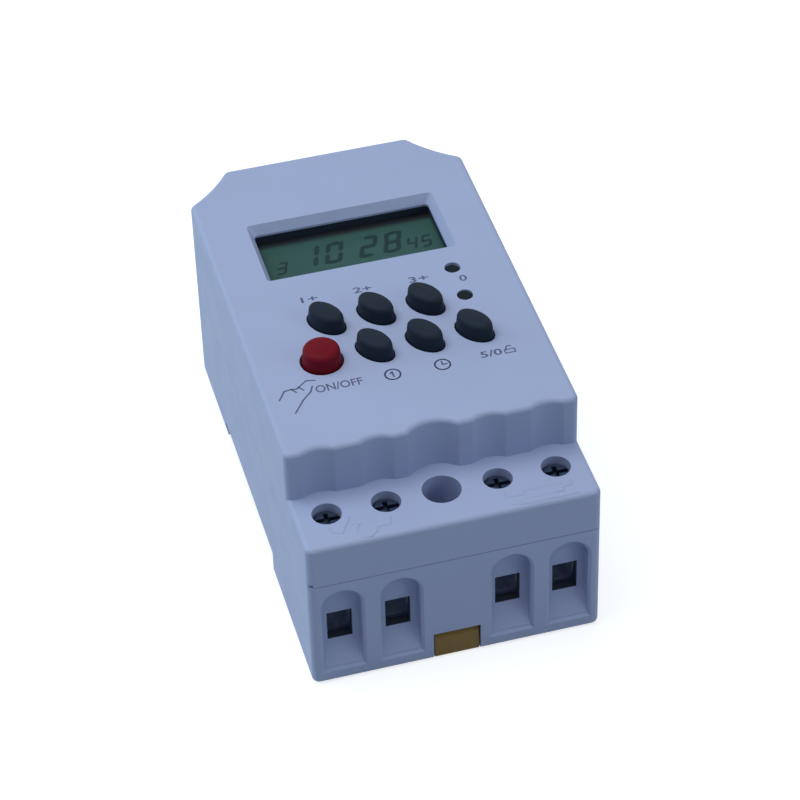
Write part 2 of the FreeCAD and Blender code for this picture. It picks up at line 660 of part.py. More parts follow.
def cover_holes():
    """Screw holes, pilots, key and lamp holes, and the bevelled display opening."""
    tools = []
    for x in TERMINALS:
        tools.append(post(x, TERMINAL_Y, (LEDGE_TOP, SHOULDER_HEIGHT + SLACK), SCREW_HOLE_RADIUS))
        shank = (SLEEVE_BOTTOM - SLACK, LEDGE_TOP + SLACK)
        tools.append(post(x, TERMINAL_Y, shank, SCREW_RADIUS + SCREW_LEDGE_CLEARANCE))
    shoulder = (SHOULDER_UNDERSIDE - SLACK, SHOULDER_HEIGHT + SLACK)
    tools.append(post(0, CASE_SCREW_Y, shoulder, CASE_HOLE_RADIUS))
    for x, y in DISPLAY_POSTS:
        pilot = (DISPLAY_BOARD_BOTTOM, DISPLAY_BOARD_BOTTOM + BOARD_SCREW_LENGTH)
        tools.append(post(x, y, pilot, BOARD_SCREW_RADIUS + PILOT_CLEARANCE))
    face = (FACE_UNDERSIDE - SLACK, FRONT_HEIGHT + SLACK)
    for name, x, y in BUTTONS:
        tools.append(oval_prism(x, y, face, button_radii(name), CAP_CLEARANCE))
    for y in (RESET_Y, LAMP_Y):
        tools.append(post(SMALL_HOLE_X, y, face, SMALL_HOLE_RADIUS))
    rim = (DISPLAY_START, DISPLAY_END)
    land = (DISPLAY_START + DISPLAY_BEVEL, DISPLAY_END - DISPLAY_BEVEL)
    low = FRONT_HEIGHT - DISPLAY_BEVEL_DEPTH
    mouth = rounded_rectangle(DISPLAY_HALF_WIDTH, rim, FRONT_HEIGHT, DISPLAY_CORNER)
    foot = rounded_rectangle(DISPLAY_HALF_WIDTH - DISPLAY_BEVEL, land, low, DISPLAY_CORNER)
    tools.append(Part.makeLoft([foot, mouth], True, True))
    tools.append(Part.Face(foot).extrude(V(0, 0, -FACE_THICKNESS)))
    return tools


def front_cover():
    """Upper shell: shoulder with the screw holes, and the control face."""
    kept = (SEAM_HEIGHT, FRONT_HEIGHT + SLACK)
    body = outer_body().common(box((-WIDTH, WIDTH), (-SLACK, LENGTH + SLACK), kept))
    for cavity in cover_cavities():
        body = body.cut(cavity)
    for x in TERMINALS:
        sleeve = (SLEEVE_BOTTOM, SHOULDER_UNDERSIDE + SLACK)
        body = body.fuse(post(x, TERMINAL_Y, sleeve, SCREW_HOLE_RADIUS + SLEEVE_WALL))
    for x, y in DISPLAY_POSTS:
        body = body.fuse(post(x, y, (DISPLAY_BOARD_TOP, FACE_UNDERSIDE + SLACK), POST_RADIUS))
    for side in (-1, 1):
        body = body.fuse(snap_hook(side * SNAP_X))
    for tool in cover_holes():
        body = body.cut(tool)
    left = -WIDTH / 2
    pit_z = (SEAM_HEIGHT, SEAM_HEIGHT + PIT_HEIGHT)
    pit = box((left - SLACK, left + PIT_LENGTH), (-SLACK, PIT_DEPTH), pit_z)
    return body.cut(pit).removeSplitter()


def case_screw_sleeve():
    """Tube under the shoulder: the case screw's head stands on its floor, deep below the face."""
    tube = post(0, CASE_SCREW_Y, (CASE_BOSS_FOOT, SHOULDER_UNDERSIDE), CASE_HOLE_RADIUS + CASE_BOSS_WALL)
    floor = CASE_BOSS_FOOT + CASE_BOSS_FLOOR
    tube = tube.cut(post(0, CASE_SCREW_Y, (floor, SHOULDER_HEIGHT), CASE_HOLE_RADIUS))
    shank = (CASE_BOSS_FOOT - SLACK, floor + SLACK)
    return tube.cut(post(0, CASE_SCREW_Y, shank, CASE_SCREW_RADIUS + SCREW_LEDGE_CLEARANCE))


# ---- Terminals ----
def cross_recess(x, y, top, radius):
    """Cutting tool of a cross recess in a screw head."""
    wide = SLOT_WIDTH / 2
    long = CROSS_SHARE * radius
    depth = (top - SLOT_DEPTH, top + SLACK)
    along_x = box((x - long, x + long), (y - wide, y + wide), depth)
    return along_x.fuse(box((x - wide, x + wide), (y - long, y + long), depth))


def terminal_screw(x):
    """Screw that stays at its height and turns in the threaded top of the cage."""
    head = post(x, TERMINAL_Y, (SCREW_SEAT, SCREW_TOP), SCREW_HEAD_RADIUS)
    head = head.makeChamfer(SCREW_HEAD_BEVEL, level_edges(head, SCREW_TOP))
    shank = post(x, TERMINAL_Y, (BAR_TOP + SCREW_TIP_GAP, SCREW_SEAT + SLACK / 2), SCREW_RADIUS)
    reach = SCREW_HEAD_RADIUS + SLACK
    slot_y = (TERMINAL_Y - SLOT_WIDTH / 2, TERMINAL_Y + SLOT_WIDTH / 2)
    slot = box((x - reach, x + reach), slot_y, (SCREW_TOP - SLOT_DEPTH, SCREW_TOP + SLACK))
    recess = cross_recess(x, TERMINAL_Y, SCREW_TOP, SCREW_HEAD_RADIUS)
    return fuse([head, shank]).cut(slot).cut(recess)


def clamp_cage(x):
    """Open box that the screw draws up, so that it presses the wire on the bar."""
    half = CAGE_WIDTH / 2
    along = (TERMINAL_Y - CAGE_DEPTH / 2, TERMINAL_Y + CAGE_DEPTH / 2)
    cage = box((x - half, x + half), along, (CAGE_BOTTOM, CAGE_CEILING + CAGE_TOP))
    long_edges = [e for e in cage.Edges if e.BoundBox.YLength > CAGE_DEPTH / 2]
    cage = cage.makeChamfer(CAGE_WALL / 2, long_edges)
    inside = CAGE_INNER_WIDTH / 2
    through = (along[0] - SLACK, along[1] + SLACK)
    cage = cage.cut(box((x - inside, x + inside), through, (CABLE_HOLE_BOTTOM, CAGE_CEILING)))
    threaded = (CAGE_CEILING - SLACK, CAGE_CEILING + CAGE_TOP + SLACK)
    return cage.cut(post(x, TERMINAL_Y, threaded, SCREW_RADIUS + SCREW_THREAD_CLEARANCE))


def current_bar(x):
    """Bar over the wire, whose tail lies on the edge of the power board and is soldered there."""
    half = BAR_WIDTH / 2
    start = POCKET_START + CAGE_END_CLEARANCE / 2
    end = BLOCK_END + BAR_TAIL
    flat = box((x - half, x + half), (start, end), (BAR_BOTTOM, BAR_TOP))
    return flat.makeChamfer(BAR_THICKNESS / 4, upright_edges(flat))


# ---- Rail latch ----
def rail_latch():
    """Sliding latch: pull plate, bar with its spring window, and the nose under the rail."""
    half = LATCH_WIDTH / 2
    start = LATCH_SETBACK
    back = start + LATCH_PLATE
    nose = NOTCH_START + RAIL_CLEARANCE / 2 + HOOK_REACH
    profile = [(start, LATCH_PLATE_BOTTOM), (back, LATCH_PLATE_BOTTOM), (back, LATCH_BOTTOM)]
    profile += [(nose - HOOK_REACH, LATCH_BOTTOM), (nose, HOOK_TOP - HOOK_NOSE), (nose, HOOK_TOP)]
    profile += [(back, HOOK_TOP), (back, LATCH_PLATE_TOP), (start + LATCH_BEVEL, LATCH_PLATE_TOP)]
    profile += [(start, LATCH_PLATE_TOP - LATCH_BEVEL)]
    latch = prism_along_x(profile, (-half, half))
    through = (LATCH_BOTTOM - SLACK, HOOK_TOP + SLACK)
    eye = (LATCH_EYE_START, LATCH_EYE_START + LATCH_EYE_LENGTH)
    latch = latch.cut(box((-LATCH_EYE_WIDTH / 2, LATCH_EYE_WIDTH / 2), eye, through))
    window = (SPRING_WINDOW_START, SPRING_WINDOW_START + SPRING_WINDOW_LENGTH)
    return latch.cut(box((-SPRING_WINDOW_WIDTH / 2, SPRING_WINDOW_WIDTH / 2), window, through))


def latch_spring():
    """Coil spring between the peg of the base and the far end of the latch's window."""
    start = PEG_START + PEG_THICKNESS + SPRING_SEAT_GAP + SPRING_WIRE
    end = SPRING_WINDOW_START + SPRING_WINDOW_LENGTH - SPRING_SEAT_GAP - SPRING_WIRE
    path = Part.Wire(Part.makeHelix((end - start) / SPRING_TURNS, end - start, SPRING_RADIUS).Edges)
    corners = []
    for i in range(WIRE_SIDES + 1):
        angle = 2 * math.pi * i / WIRE_SIDES
        corners.append(V(SPRING_RADIUS + SPRING_WIRE * math.cos(angle), 0, SPRING_WIRE * math.sin(angle)))
    coil = path.makePipeShell([Part.makePolygon(corners)], True, True)
    coil.rotate(V(0, 0, 0), X_AXIS, -90)
    coil.translate(V(0, y_at(start), (HOOK_TOP + LATCH_BOTTOM) / 2))
    return coil


# ---- Display stack ----
def glass_limits(growth):
    """Half width and the two ends of the glass, grown by a clearance."""
    half = DISPLAY_HALF_WIDTH - DISPLAY_BEVEL + FRAME_LIP + growth
    start = DISPLAY_START + DISPLAY_BEVEL - FRAME_LIP - growth
    return half, (start, DISPLAY_START + DISPLAY_END - start)


def display_frame():
    """Black frame that holds the clear window and the glass down on the board."""
    half, ends = glass_limits(GLASS_CLEARANCE)
    outer = (ends[0] - FRAME_WALL, ends[1] + FRAME_WALL)
    frame = box((-half - FRAME_WALL, half + FRAME_WALL), outer, (DISPLAY_BOARD_TOP, FACE_UNDERSIDE))
    frame = frame.cut(box((-half, half), ends, (DISPLAY_BOARD_TOP - SLACK, LENS_TOP)))
    sight = DISPLAY_HALF_WIDTH - DISPLAY_BEVEL + FRAME_BORDER
    opening = (DISPLAY_START + DISPLAY_BEVEL - FRAME_BORDER, DISPLAY_END - DISPLAY_BEVEL + FRAME_BORDER)
    return frame.cut(box((-sight, sight), opening, (LENS_TOP - SLACK, FACE_UNDERSIDE + SLACK)))


def display_window():
    """Clear window over the glass."""
    half, ends = glass_limits(0)
    return box((-half, half), ends, (GLASS_TOP, LENS_TOP))


def display_glass():
    """Liquid crystal glass: the front sheet overhangs the rear one along its contacts."""
    half, ends = glass_limits(0)
    middle = (GLASS_BOTTOM + GLASS_TOP) / 2
    front = box((-half, half), ends, (middle, GLASS_TOP))
    inset = STRIP_WIDTH / 4
    rear = box((-half, half), (ends[0] + inset, ends[1] - inset), (GLASS_BOTTOM, middle))
    return fuse([front, rear])


def contact_strips():
    """Conductive rubber strips between the glass and the board, one along each long edge."""
    half, ends = glass_limits(0)
    strips = []
    for start in (ends[0] + STRIP_WIDTH / 2, ends[1] - 1.5 * STRIP_WIDTH):
        length = STRIP_LENGTH / 2
        along = (start, start + STRIP_WIDTH)
        strips.append(box((-length, length), along, (DISPLAY_BOARD_TOP, GLASS_BOTTOM)))
    return Part.makeCompound(strips)


# ---- Buttons and switches ----
def cap_rings(radii):
    """Height and both radii of each ring of a cap, from inside the cover to its rounded top."""
    rings = [(FLANGE_TOP - CAP_FLANGE / 2, 0.0), (FRONT_HEIGHT, 0.0)]
    for i in range(CAP_ROUND_STEPS + 1):
        angle = math.pi / 2 * i / CAP_ROUND_STEPS
        height = CAP_TOP - CAP_ROUND * (1 - math.sin(angle))
        rings.append((height, CAP_TAPER + CAP_ROUND * (1 - math.cos(angle))))
    return [(z, radii[0] - inset, radii[1] - inset) for z, inset in rings]


def button_cap(name, x, y):
    """Tapered cap with a rounded top, and the flange that keeps it in the cover."""
    radii = button_radii(name)
    wires = [oval_wire(x, y, z, long, short) for z, long, short in cap_rings(radii)]
    cap = Part.makeLoft(wires, True, True)
    flange = oval_prism(x, y, (FLANGE_BOTTOM, FLANGE_TOP), radii, CAP_CLEARANCE + CAP_FLANGE_REACH)
    return fuse([cap, flange])


def plunger(x, y, bottom, top, radius):
    """Round plunger of a switch, with its top edge broken."""
    pin = post(x, y, (bottom, top), radius)
    return pin.makeChamfer(radius / 8, level_edges(pin, top))


def tact_plunger(x, y):
    """Plunger of a tact switch, from inside its well up to the button above."""
    return plunger(x, y, TACT_TOP - PLUNGER_SINK, FLANGE_BOTTOM, PLUNGER_RADIUS)


def switch_body(x, y, size, height, well, well_radius):
    """Square switch body on the display board, open where its plunger goes in."""
    half = size / 2
    top = DISPLAY_BOARD_TOP + height
    body = box((x - half, x + half), (y - half, y + half), (DISPLAY_BOARD_TOP, top))
    body = body.makeChamfer(TACT_ROUND, upright_edges(body))
    return body.cut(post(x, y, (top - well, top + SLACK), well_radius))


def tact_switches():
    """One tact switch under each button."""
    radius = PLUNGER_RADIUS + PLUNGER_CLEARANCE
    bodies = [switch_body(x, y, TACT_SIZE, TACT_HEIGHT, PLUNGER_WELL, radius) for _, x, y in BUTTONS]
    return Part.makeCompound(bodies)


def reset_switch():
    """Small switch under the pinhole."""
    radius = RESET_PLUNGER_RADIUS + PLUNGER_CLEARANCE
    return switch_body(SMALL_HOLE_X, RESET_Y, RESET_SIZE, RESET_HEIGHT, RESET_WELL, radius)


def reset_plunger():
    """Plunger that ends just below the control face, for a pen's tip."""
    bottom = DISPLAY_BOARD_TOP + RESET_HEIGHT - RESET_SINK
    top = FRONT_HEIGHT - RESET_PLUNGER_DEPTH
    return plunger(SMALL_HOLE_X, RESET_Y, bottom, top, RESET_PLUNGER_RADIUS)


def status_lamp():
    """Light-emitting diode whose flat end lies just under the control face."""
    tip = FRONT_HEIGHT - LAMP_DEPTH
    stem = post(SMALL_HOLE_X, LAMP_Y, (DISPLAY_BOARD_TOP, tip), LAMP_RADIUS)
    stem = stem.makeChamfer(LAMP_BEVEL, level_edges(stem, tip))
    foot = (DISPLAY_BOARD_TOP, DISPLAY_BOARD_TOP + SLACK)
    return fuse([stem, post(SMALL_HOLE_X, LAMP_Y, foot, LAMP_RADIUS + LAMP_FLANGE)])


# ---- Boards and what they carry ----
def drilled_board(y, z, posts, chamfer):
    """Circuit board with its far corners cut off and a hole at each post."""
    board = box((-BOARD_HALF_WIDTH, BOARD_HALF_WIDTH), y, z)
    far = [e for e in upright_edges(board) if e.BoundBox.YMin > y_at(y[1]) - 1e-3]
    board = board.makeChamfer(chamfer, far)
    hole = BOARD_SCREW_RADIUS + BOARD_HOLE_CLEARANCE
    for x, where in posts:
        board = board.cut(post(x, where, (z[0] - SLACK, z[1] + SLACK), hole))
    return board


def display_board():
    """Board under the control face."""
    y = (DISPLAY_BOARD_START, LENGTH - DISPLAY_BOARD_MARGIN)
    z = (DISPLAY_BOARD_BOTTOM, DISPLAY_BOARD_TOP)
    return drilled_board(y, z, DISPLAY_POSTS, BOARD_CHAMFER)


def power_board():
    """Mains board in the base, level with the current bars."""
    y = (POWER_BOARD_START, LENGTH - POWER_BOARD_MARGIN)
    return drilled_board(y, (POWER_BOARD_BOTTOM, POWER_BOARD_TOP), POWER_POSTS, BOARD_CHAMFER)


def board_screws(posts, face, direction):
    """Screws of one board: heads on the board's face, shanks running up (1) or down (-1)."""
    screws = []
    for x, y in posts:
        outer = face - direction * BOARD_SCREW_HEAD_HEIGHT
        middle = face - direction * BOARD_SCREW_HEAD_HEIGHT / 2
        tip = face + direction * (BOARD_SCREW_LENGTH - PILOT_CLEARANCE)
        head = post(x, y, sorted((face, outer)), BOARD_SCREW_HEAD_RADIUS)
        screws.append(fuse([head, post(x, y, sorted((middle, tip)), BOARD_SCREW_RADIUS)]))
    return Part.makeCompound(screws)


def case_screw():
    """Screw at the bottom of the deep centre hole that joins the two shells."""
    seat = CASE_BOSS_FOOT + CASE_BOSS_FLOOR
    top = seat + CASE_SCREW_HEAD_HEIGHT
    head = post(0, CASE_SCREW_Y, (seat, top), CASE_SCREW_HEAD_RADIUS)
    head = head.makeChamfer(CASE_SCREW_HEAD_BEVEL, level_edges(head, top))
    shank = (seat + PILOT_CLEARANCE - CASE_SCREW_LENGTH, seat + SLACK)
    screw = fuse([head, post(0, CASE_SCREW_Y, shank, CASE_SCREW_RADIUS)])
    return screw.cut(cross_recess(0, CASE_SCREW_Y, top, CASE_SCREW_HEAD_RADIUS))


def link_pin_places():
    """X of each pin between the boards."""
    first = -LINK_SPACING * (LINK_PINS - 1) / 2
    return [first + i * LINK_SPACING for i in range(LINK_PINS)]


def link_header():
    """Pin strip that stands on the power board."""
    half = LINK_PINS * LINK_SPACING / 2
    across = (LINK_Y - LINK_WIDTH / 2, LINK_Y + LINK_WIDTH / 2)
    solids = [box((-half, half), across, (POWER_BOARD_TOP, POWER_BOARD_TOP + LINK_BASE))]
    pin = LINK_PIN / 2
    levels = (POWER_BOARD_TOP + LINK_BASE / 2, DISPLAY_BOARD_BOTTOM - LINK_PIN_HEADROOM)
    for x in link_pin_places():
        solids.append(box((x - pin, x + pin), (LINK_Y - pin, LINK_Y + pin), levels))
    return fuse(solids)


def link_socket():
    """Socket strip that hangs under the display board and takes the pins."""
    half = LINK_PINS * LINK_SPACING / 2
    across = (LINK_Y - LINK_WIDTH / 2, LINK_Y + LINK_WIDTH / 2)
    pin_top = DISPLAY_BOARD_BOTTOM - LINK_PIN_HEADROOM
    bottom = pin_top - LINK_OVERLAP
    socket = box((-half, half), across, (bottom, DISPLAY_BOARD_BOTTOM))
    well = LINK_PIN / 2 + LINK_PIN_CLEARANCE
    levels = (bottom - SLACK, pin_top + LINK_PIN_CLEARANCE)
    for x in link_pin_places():
        socket = socket.cut(box((x - well, x + well), (LINK_Y - well, LINK_Y + well), levels))
    return socket


def rounded_block(x, y, size, bottom, radius):
    """Block with rounded upright edges; size is width, length and height."""
    half_width, half_length = size[0] / 2, size[1] / 2
    across = (x - half_width, x + half_width)
    block = box(across, (y - half_length, y + half_length), (bottom, bottom + size[2]))
    return block.makeFillet(radius, upright_edges(block))


def relay():
    """Output relay."""
    size = (RELAY_WIDTH, RELAY_LENGTH, BOARD_GAP - RELAY_HEADROOM)
    return rounded_block(RELAY_TO_SIDE - BOARD_HALF_WIDTH, RELAY_Y, size, POWER_BOARD_TOP, RELAY_ROUND)


def film_capacitor():
    """Mains dropper capacitor."""
    size = (FILM_WIDTH, FILM_LENGTH, BOARD_GAP - FILM_HEADROOM)
    return rounded_block(BOARD_HALF_WIDTH - FILM_TO_SIDE, FILM_Y, size, POWER_BOARD_TOP, RELAY_ROUND)


def smoothing_capacitors():
    """Two electrolytic cans, each with the rolled groove near its foot."""
    cans = []
    waist = CAN_RADIUS - CAN_GROOVE
    for margin in CAN_TO_SIDE:
        x = BOARD_HALF_WIDTH - margin
        low = POWER_BOARD_TOP + CAN_GROOVE_HEIGHT
        high = low + 2 * CAN_GROOVE
        middle = V(x, y_at(CAN_Y), low + CAN_GROOVE)
        down = Part.makeCone(CAN_RADIUS, waist, CAN_GROOVE, V(x, y_at(CAN_Y), low), Z_AXIS)
        up = Part.makeCone(waist, CAN_RADIUS, CAN_GROOVE, middle, Z_AXIS)
        foot = post(x, CAN_Y, (POWER_BOARD_TOP, low), CAN_RADIUS)
        top = post(x, CAN_Y, (high, DISPLAY_BOARD_BOTTOM - CAN_HEADROOM), CAN_RADIUS)
        cans.append(fuse([foot, down, up, top]))
    return Part.makeCompound(cans)


def axial_parts(count, start, radius, length):
    """Row of small axial parts, each on two bent leads that stand on the power board."""
    row = []
    height = POWER_BOARD_TOP + DIODE_LIFT
    middle = BOARD_HALF_WIDTH - DIODE_TO_SIDE
    half = DIODE_SPAN / 2
    lead = DIODE_LEAD
    for i in range(count):
        y = start + i * DIODE_PITCH
        body = Part.makeCylinder(radius, length, V(middle - length / 2, y_at(y), height), X_AXIS)
        wire = box((middle - half, middle + half), (y - lead, y + lead), (height - lead, height + lead))
        pieces = [body, wire]
        for foot in (middle - half, middle + half - 2 * lead):
            pieces.append(box((foot, foot + 2 * lead), (y - lead, y + lead), (POWER_BOARD_TOP, height)))
        row.append(fuse(pieces))
    return Part.makeCompound(row)


def varistor():
    """Surge absorber: an upright disc on two leads."""
    x = VARISTOR_TO_SIDE - BOARD_HALF_WIDTH
    middle = POWER_BOARD_TOP + VARISTOR_LIFT + VARISTOR_RADIUS
    start = V(x, y_at(VARISTOR_Y - VARISTOR_THICKNESS / 2), middle)
    disc = Part.makeCylinder(VARISTOR_RADIUS, VARISTOR_THICKNESS, start, Y_AXIS)
    disc = disc.makeChamfer(VARISTOR_BEVEL, [e for e in disc.Edges if e.BoundBox.YLength < 1e-5])
    pieces = [disc]
    lead = DIODE_LEAD
    for foot in (x - VARISTOR_RADIUS / 2, x + VARISTOR_RADIUS / 2):
        across = (VARISTOR_Y - lead, VARISTOR_Y + lead)
        pieces.append(box((foot - lead, foot + lead), across, (POWER_BOARD_TOP, middle)))
    return fuse(pieces)


def cell_holder():
    """Round cup for the backup cell, cut open at one side so that the cell can be changed."""
    x = CELL_TO_SIDE - BOARD_HALF_WIDTH
    radius = CELL_RADIUS + HOLDER_CLEARANCE
    floor = POWER_BOARD_TOP + HOLDER_FLOOR
    cup = post(x, CELL_Y, (POWER_BOARD_TOP, floor + CELL_HEIGHT), radius + HOLDER_WALL)
    cup = cup.cut(post(x, CELL_Y, (floor, DISPLAY_BOARD_BOTTOM), radius))
    half = HOLDER_NOTCH / 2
    gap = (CELL_Y, CELL_Y + 2 * CELL_RADIUS)
    return cup.cut(box((x - half, x + half), gap, (floor, DISPLAY_BOARD_BOTTOM)))


def backup_cell():
    """Coin cell: the narrower cap stands on the wider can."""
    x = CELL_TO_SIDE - BOARD_HALF_WIDTH
    bottom = POWER_BOARD_TOP + HOLDER_FLOOR
    can = post(x, CELL_Y, (bottom, bottom + CELL_CAN_HEIGHT), CELL_RADIUS)
    cap = (bottom + CELL_CAN_HEIGHT / 2, bottom + CELL_HEIGHT)
    return fuse([can, post(x, CELL_Y, cap, CELL_CAP_RADIUS)])


def controller_chip():
    """Timer's controller, under the display board."""
    size = (CHIP_SIZE, CHIP_SIZE, CHIP_HEIGHT)
    return rounded_block(CHIP_X, CHIP_Y, size, DISPLAY_BOARD_BOTTOM - CHIP_HEIGHT, CHIP_ROUND)


def quartz_crystal():
    """Clock crystal under the display board, with round ends."""
    size = (CRYSTAL_WIDTH, CRYSTAL_DEPTH, CRYSTAL_HEIGHT)
    bottom = DISPLAY_BOARD_BOTTOM - CRYSTAL_HEIGHT
    return rounded_block(CRYSTAL_X, CRYSTAL_Y, size, bottom, CRYSTAL_ROUND)


def all_parts():
    """Every piece, by the name of its file."""
    parts = {
        "base_housing": base_housing(),
        "front_cover": front_cover(),
        "case_screw_sleeve": case_screw_sleeve(),
        "case_screw": case_screw(),
        "rail_latch": rail_latch(),
        "latch_spring": latch_spring(),
        "display_frame": display_frame(),
        "display_window": display_window(),
        "display_glass": display_glass(),
        "contact_strips": contact_strips(),
        "display_board": display_board(),
        "display_board_screws": board_screws(DISPLAY_POSTS, DISPLAY_BOARD_BOTTOM, 1),
        "power_board": power_board(),
        "power_board_screws": board_screws(POWER_POSTS, POWER_BOARD_TOP, -1),
        "tact_switches": tact_switches(),
        "reset_switch": reset_switch(),
        "reset_plunger": reset_plunger(),
        "status_lamp": status_lamp(),
        "link_header": link_header(),
        "link_socket": link_socket(),
        "relay": relay(),
        "film_capacitor": film_capacitor(),
        "smoothing_capacitors": smoothing_capacitors(),
        "rectifier_diodes": axial_parts(DIODES, DIODE_START, DIODE_RADIUS, DIODE_LENGTH),
        "resistors": axial_parts(RESISTORS, RESISTOR_START, RESISTOR_RADIUS, RESISTOR_LENGTH),
        "varistor": varistor(),
        "cell_holder": cell_holder(),
        "backup_cell": backup_cell(),
        "controller_chip": controller_chip(),
        "quartz_crystal": quartz_crystal(),
    }
    for i, x in enumerate(TERMINALS, start=1):
        parts[f"terminal_screw_{i}"] = terminal_screw(x)
        parts[f"clamp_cage_{i}"] = clamp_cage(x)
        parts[f"current_bar_{i}"] = current_bar(x)
    for name, x, y in BUTTONS:
        parts[name] = button_cap(name, x, y)
        parts[f"{name}_plunger"] = tact_plunger(x, y)
    return parts


os.makedirs("parts", exist_ok=True)
for node, shape in all_parts().items():
    shape.exportStep(f"parts/{node}.step")
    print(node, len(shape.Solids), shape.isValid(), round(shape.Volume, 1))
print("cage lift", round(CAGE_LIFT, 3))
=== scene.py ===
import json
import math

import bpy
from mathutils import Matrix, Vector

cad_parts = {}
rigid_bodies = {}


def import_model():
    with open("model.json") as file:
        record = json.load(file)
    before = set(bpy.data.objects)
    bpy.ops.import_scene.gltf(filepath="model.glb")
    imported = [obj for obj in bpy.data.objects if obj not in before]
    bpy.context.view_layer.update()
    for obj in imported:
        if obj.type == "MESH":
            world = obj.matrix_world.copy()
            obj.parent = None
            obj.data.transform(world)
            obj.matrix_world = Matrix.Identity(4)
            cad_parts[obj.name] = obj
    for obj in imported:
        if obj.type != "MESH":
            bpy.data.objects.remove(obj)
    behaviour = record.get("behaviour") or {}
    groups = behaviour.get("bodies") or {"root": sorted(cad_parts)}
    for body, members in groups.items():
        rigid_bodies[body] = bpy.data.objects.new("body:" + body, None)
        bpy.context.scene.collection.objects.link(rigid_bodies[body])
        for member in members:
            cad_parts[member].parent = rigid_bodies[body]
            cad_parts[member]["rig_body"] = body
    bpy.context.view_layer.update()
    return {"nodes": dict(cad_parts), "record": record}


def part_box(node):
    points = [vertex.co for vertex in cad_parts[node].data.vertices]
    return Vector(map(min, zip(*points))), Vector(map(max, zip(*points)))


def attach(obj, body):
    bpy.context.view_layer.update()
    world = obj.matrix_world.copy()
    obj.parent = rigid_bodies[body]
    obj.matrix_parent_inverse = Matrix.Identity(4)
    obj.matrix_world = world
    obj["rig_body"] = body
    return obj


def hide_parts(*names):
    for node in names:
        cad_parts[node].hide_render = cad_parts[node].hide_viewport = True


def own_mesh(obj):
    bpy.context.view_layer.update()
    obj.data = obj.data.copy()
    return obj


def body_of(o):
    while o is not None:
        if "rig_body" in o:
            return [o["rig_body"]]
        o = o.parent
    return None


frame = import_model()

MM = 0.001
NODES = frame["nodes"]

# ---- Places, in millimetres, y as the distance from the terminal end ----
NEAR_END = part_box("base_housing")[0][1]
FACE_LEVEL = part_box("front_cover")[1][2] / MM
SCREW_SINK = 1.3  # heads of the terminal screws below the shoulder
SHOULDER_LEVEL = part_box("terminal_screw_1")[1][2] / MM + SCREW_SINK
GLASS_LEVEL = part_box("display_glass")[1][2] / MM
INK_THICKNESS = 0.012
INK_SINK = 0.004  # how far ink and segments reach into what carries them


def place(x, y, z):
    """Point of the row frame, in metres."""
    return Vector((x * MM, y * MM + NEAR_END, z * MM))


# ---- Small helpers for materials ----
MIX_FIRST = 6  # colour sockets of the Mix node
MIX_SECOND = 7
MIX_RESULT = 2
EVEN = (1.0, 1.0, 1.0)  # stretch of a noise that is the same all ways
NOISE_ROUGHNESS = 0.55
NOISE_MIDDLE = (0.3, 0.7)  # values between which most of a noise lies
SOFT_DETAIL = 4.0
GRAIN_DETAIL = 2.0


